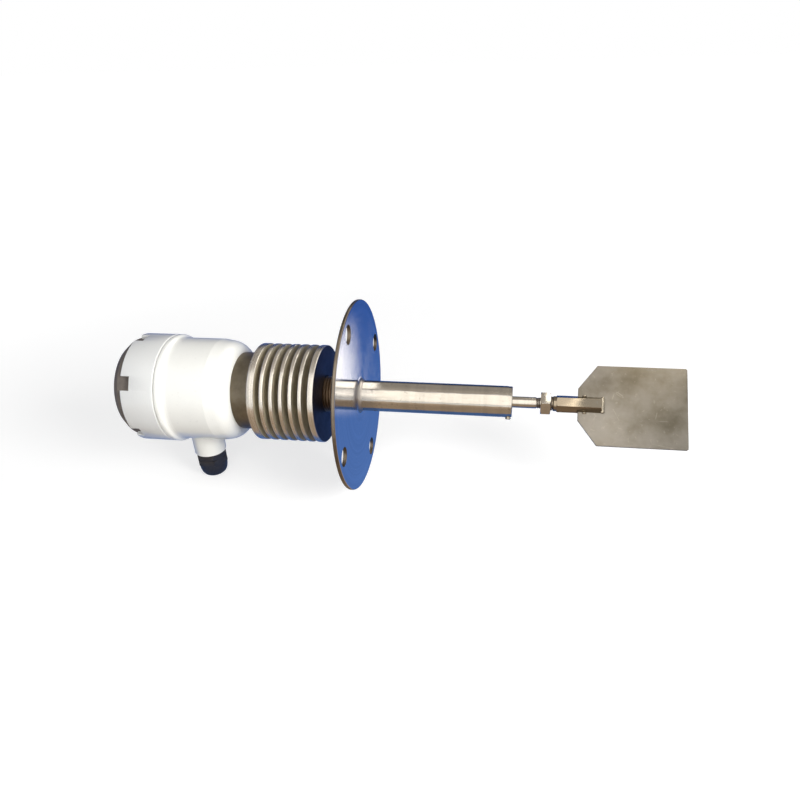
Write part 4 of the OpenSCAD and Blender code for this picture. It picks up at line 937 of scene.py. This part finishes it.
class LEVELSWITCH_OT_studio(bpy.types.Operator):
    """Set the floor, the lamps, the room light and the camera"""

    bl_idname = "levelswitch.studio"
    bl_label = "Studio"

    def sheet(self, name, corners):
        """A flat sheet with its corners moved to their places."""
        object_mode()
        bpy.ops.mesh.primitive_plane_add(size=2.0, location=(0, 0, 0))
        obj = bpy.context.object
        for vertex, place in zip(sorted(obj.data.vertices, key=lambda v: (v.co.y, v.co.x)), corners):
            vertex.co = place
        obj.name = name
        return obj

    def edge(self, x0, x1, y, z):
        """The two corners of a sheet's edge that lies along X."""
        return [(x0, y, z), (x1, y, z)]

    def tree(self, obj):
        mat = bpy.data.materials.new(obj.name)
        mat.use_nodes = True
        mat.node_tree.nodes.clear()
        obj.data.materials.append(mat)
        return mat.node_tree

    def seen(self, tree):
        """Mask of the rays that come straight from the camera, or through metal or glass."""
        path = tree.nodes.new("ShaderNodeLightPath")
        seen = math_node(tree, "MAXIMUM", path.outputs["Is Camera Ray"], path.outputs["Is Glossy Ray"])
        return math_node(tree, "MAXIMUM", seen, path.outputs["Is Transmission Ray"])

    def floor(self, height):
        """A pale floor that shows white to the camera and to metal, and keeps the shadow."""
        floor = self.sheet("studio_floor", self.edge(-7, 7, -7, height) + self.edge(-7, 7, 9, height))
        tree = self.tree(floor)
        diffuse = tree.nodes.new("ShaderNodeBsdfDiffuse")
        diffuse.inputs["Color"].default_value = (0.50, 0.50, 0.50, 1)
        glow = tree.nodes.new("ShaderNodeEmission")
        glow.inputs["Color"].default_value = (1, 1, 1, 1)
        seen = self.seen(tree)
        length = tree.nodes.new("ShaderNodeVectorMath")
        length.operation = "LENGTH"
        tree.links.new(object_place(tree), length.inputs[0])
        strength = stretch(tree, length.outputs["Value"], 0.25, 1.3, 0.62, 0.95)
        tree.links.new(math_node(tree, "MULTIPLY", seen, strength), glow.inputs["Strength"])
        add = tree.nodes.new("ShaderNodeAddShader")
        out = tree.nodes.new("ShaderNodeOutputMaterial")
        tree.links.new(diffuse.outputs[0], add.inputs[0])
        tree.links.new(glow.outputs[0], add.inputs[1])
        tree.links.new(add.outputs[0], out.inputs["Surface"])

    def patched(self, tree, place, colour, patch):
        """A slanted bright patch on the floor, which the flange shows as a wedge beside the tube."""
        slant = math_node(tree, "MULTIPLY_ADD", place["Y"], -0.295, place["X"])
        mask = stretch(tree, slant, 0.003, 0.012)
        for fade in (stretch(tree, slant, 0.08, 0.14, 1, 0), stretch(tree, place["Y"], 0.10, 0.18),
                     stretch(tree, place["Y"], 0.24, 0.42, 1, 0)):
            mask = math_node(tree, "MULTIPLY", mask, fade)
        return colour_mix(tree, mask, colour, (*patch, 1))

    def card(self, name, corners, near, far, axis="Y", start=0.0, end=1.0, patch=None):
        """A coloured sheet that shows only in reflections, as the surroundings in the photo do."""
        card = self.sheet(name, corners)
        tree = self.tree(card)
        place = split_place(tree)
        colour = colour_mix(tree, stretch(tree, place[axis], start, end), (*near, 1), (*far, 1))
        if patch:
            colour = self.patched(tree, place, colour, patch)
        glow = tree.nodes.new("ShaderNodeEmission")
        tree.links.new(colour, glow.inputs["Color"])
        out = tree.nodes.new("ShaderNodeOutputMaterial")
        tree.links.new(glow.outputs[0], out.inputs["Surface"])
        card.visible_camera = False
        card.visible_diffuse = False
        card.visible_shadow = False
        card.visible_transmission = False

    def cards(self, height):
        """Blue cloth behind, a brown bench in front, grey walls, and windows in front and at the side."""
        low, ceiling = height + 0.001, 1.44
        edge = self.edge
        self.card("card_blue_floor", edge(-0.7, 1.2, -0.03, low) + edge(-0.9, 1.6, 1.2, low),
                  (0.095, 0.20, 0.50), (0.045, 0.12, 0.40), "Y", 0.0, 0.45, (1.9, 1.8, 1.7))
        self.card("card_blue_back", edge(-1.4, 2.2, 1.2, low) + edge(-1.4, 2.2, 1.5, 0.55),
                  (0.045, 0.12, 0.40), (0.015, 0.03, 0.10), "Z", 0.0, 0.5)
        self.card("card_grey_back", edge(-1.6, 2.4, 1.5, 0.55) + edge(-1.6, 2.4, 1.3, 1.5),
                  (0.12, 0.12, 0.14), (0.50, 0.46, 0.42), "Z", 0.55, 1.1)
        self.card("card_grey_top", edge(-1.6, 2.4, -0.38, 1.42) + edge(-1.6, 2.4, 1.3, 1.5),
                  (0.66, 0.60, 0.55), (0.48, 0.44, 0.40), "Y", -0.3, 0.6)
        self.card("card_brown_floor", edge(-0.9, 1.4, -0.42, low) + edge(-0.7, 1.2, -0.03, low),
                  (0.84, 0.65, 0.50), (0.50, 0.38, 0.28), "Y", -0.4, -0.1)
        self.card("card_window", edge(-0.53, 0.24, -1.121, 0.026) + edge(-0.53, 0.24, -0.439, 1.294),
                  (2.2, 2.1, 2.0), (2.2, 2.1, 2.0))
        self.card("card_side", edge(0.24, 0.36, -1.10, 0.2) + edge(0.24, 0.36, -0.44, 1.29),
                  (0.9, 0.86, 0.8), (4.4, 4.2, 3.9), "Z", 0.2, 0.55)
        self.card("card_side_top", edge(0.26, 1.0, -0.2, 1.40) + edge(0.26, 1.0, 1.28, ceiling),
                  (4.0, 3.8, 3.5), (4.0, 3.8, 3.5))
        self.card("card_side_back", edge(0.26, 1.4, 1.25, 0.9) + edge(0.26, 1.4, 1.28, ceiling),
                  (2.4, 2.3, 2.1), (3.4, 3.2, 3.0), "Z", 0.9, 1.2)
        self.card("card_blue_left", [(-0.9, y, z) for y in (-1.2, 1.2) for z in (low, 0.8)],
                  (0.20, 0.22, 0.30), (0.05, 0.08, 0.24), "Y", -0.9, 0.3)

    def lamp(self, name, place, size, power, colour):
        """A soft lamp for the matt surfaces; metal reflects the cards in its stead."""
        data = bpy.data.lights.new(name, "AREA")
        data.shape = "RECTANGLE"
        data.size = data.size_y = size
        data.energy = power
        data.color = colour
        lamp = bpy.data.objects.new(name, data)
        bpy.context.scene.collection.objects.link(lamp)
        lamp.location = place
        target = Vector((-0.10, 0, 0))
        lamp.rotation_euler = (target - Vector(place)).to_track_quat("-Z", "Y").to_euler()
        lamp.visible_camera = False
        lamp.visible_glossy = False

    def room(self, strength):
        """White to the camera and to metal, and a weak even light to all else."""
        world = bpy.context.scene.world or bpy.data.worlds.new("room")
        bpy.context.scene.world = world
        world.use_nodes = True
        tree = world.node_tree
        tree.nodes.clear()
        room = tree.nodes.new("ShaderNodeBackground")
        room.inputs["Color"].default_value = (0.97, 0.98, 1.0, 1)
        room.inputs["Strength"].default_value = strength
        white = tree.nodes.new("ShaderNodeBackground")
        white.inputs["Color"].default_value = (1, 1, 1, 1)
        white.inputs["Strength"].default_value = 1.0
        mix = tree.nodes.new("ShaderNodeMixShader")
        out = tree.nodes.new("ShaderNodeOutputWorld")
        tree.links.new(self.seen(tree), mix.inputs[0])
        tree.links.new(room.outputs[0], mix.inputs[1])
        tree.links.new(white.outputs[0], mix.inputs[2])
        tree.links.new(mix.outputs[0], out.inputs["Surface"])

    def camera(self):
        """The camera at the photo's viewpoint."""
        data = bpy.data.cameras.new("photo_camera")
        data.sensor_fit = "HORIZONTAL"
        data.sensor_width = 36
        data.lens = CAMERA_LENS
        data.shift_x, data.shift_y = CAMERA_SHIFT
        data.dof.use_dof = False
        data.clip_start = 0.01
        data.clip_end = 30
        camera = bpy.data.objects.new("photo_camera", data)
        bpy.context.scene.collection.objects.link(camera)
        turn = Matrix((CAMERA_RIGHT, -CAMERA_DOWN, -CAMERA_FORWARD)).transposed()
        camera.matrix_world = Matrix.Translation(CAMERA_PLACE) @ turn.to_4x4()
        bpy.context.scene.camera = camera

    def execute(self, context):
        studio = context.scene.levelswitch_studio
        self.camera()
        self.floor(studio.floor_height)
        self.cards(studio.floor_height)
        self.lamp("window", (0.10, -1.05, 0.70), 0.5, studio.window_power, (1.0, 0.985, 0.96))
        self.lamp("side", (1.05, -0.65, 0.55), 0.6, studio.side_power, (1.0, 0.99, 0.97))
        self.room(studio.room_light)
        context.scene.view_settings.view_transform = "Standard"
        return {"FINISHED"}


class LEVELSWITCH_PT_sidebar(bpy.types.Panel):
    """The level switch's tools and settings"""

    bl_label = "Level Switch"
    bl_idname = "LEVELSWITCH_PT_sidebar"
    bl_space_type = "VIEW_3D"
    bl_region_type = "UI"
    bl_category = "Level Switch"

    def draw(self, context):
        column = self.layout.column()
        scene = context.scene
        for group in (scene.levelswitch_finish, scene.levelswitch_threads, scene.levelswitch_studio):
            for label in group.__annotations__:
                column.prop(group, label)
        for operator in OPERATORS:
            column.operator(operator.bl_idname)


OPERATORS = (
    LEVELSWITCH_OT_studio,
    LEVELSWITCH_OT_solids,
    LEVELSWITCH_OT_nipple,
    LEVELSWITCH_OT_stud,
    LEVELSWITCH_OT_edges,
    LEVELSWITCH_OT_fillet,
    LEVELSWITCH_OT_spring,
    LEVELSWITCH_OT_welds,
)
GROUPS = (FinishSettings, ThreadSettings, StudioSettings)


def register():
    for cls in (*GROUPS, *OPERATORS, LEVELSWITCH_PT_sidebar):
        bpy.utils.register_class(cls)
    bpy.types.Scene.levelswitch_finish = bpy.props.PointerProperty(type=FinishSettings)
    bpy.types.Scene.levelswitch_threads = bpy.props.PointerProperty(type=ThreadSettings)
    bpy.types.Scene.levelswitch_studio = bpy.props.PointerProperty(type=StudioSettings)


def unregister():
    del bpy.types.Scene.levelswitch_finish
    del bpy.types.Scene.levelswitch_threads
    del bpy.types.Scene.levelswitch_studio
    for cls in reversed((*GROUPS, *OPERATORS, LEVELSWITCH_PT_sidebar)):
        bpy.utils.unregister_class(cls)


def main():
    register()
    bpy.ops.levelswitch.studio()
    bpy.ops.levelswitch.solids()
    bpy.ops.levelswitch.nipple()
    bpy.ops.levelswitch.stud()
    bpy.ops.levelswitch.edges()
    bpy.ops.levelswitch.fillet()
    bpy.ops.levelswitch.spring()
    bpy.ops.levelswitch.welds()


if __name__ == "__main__":
    main()
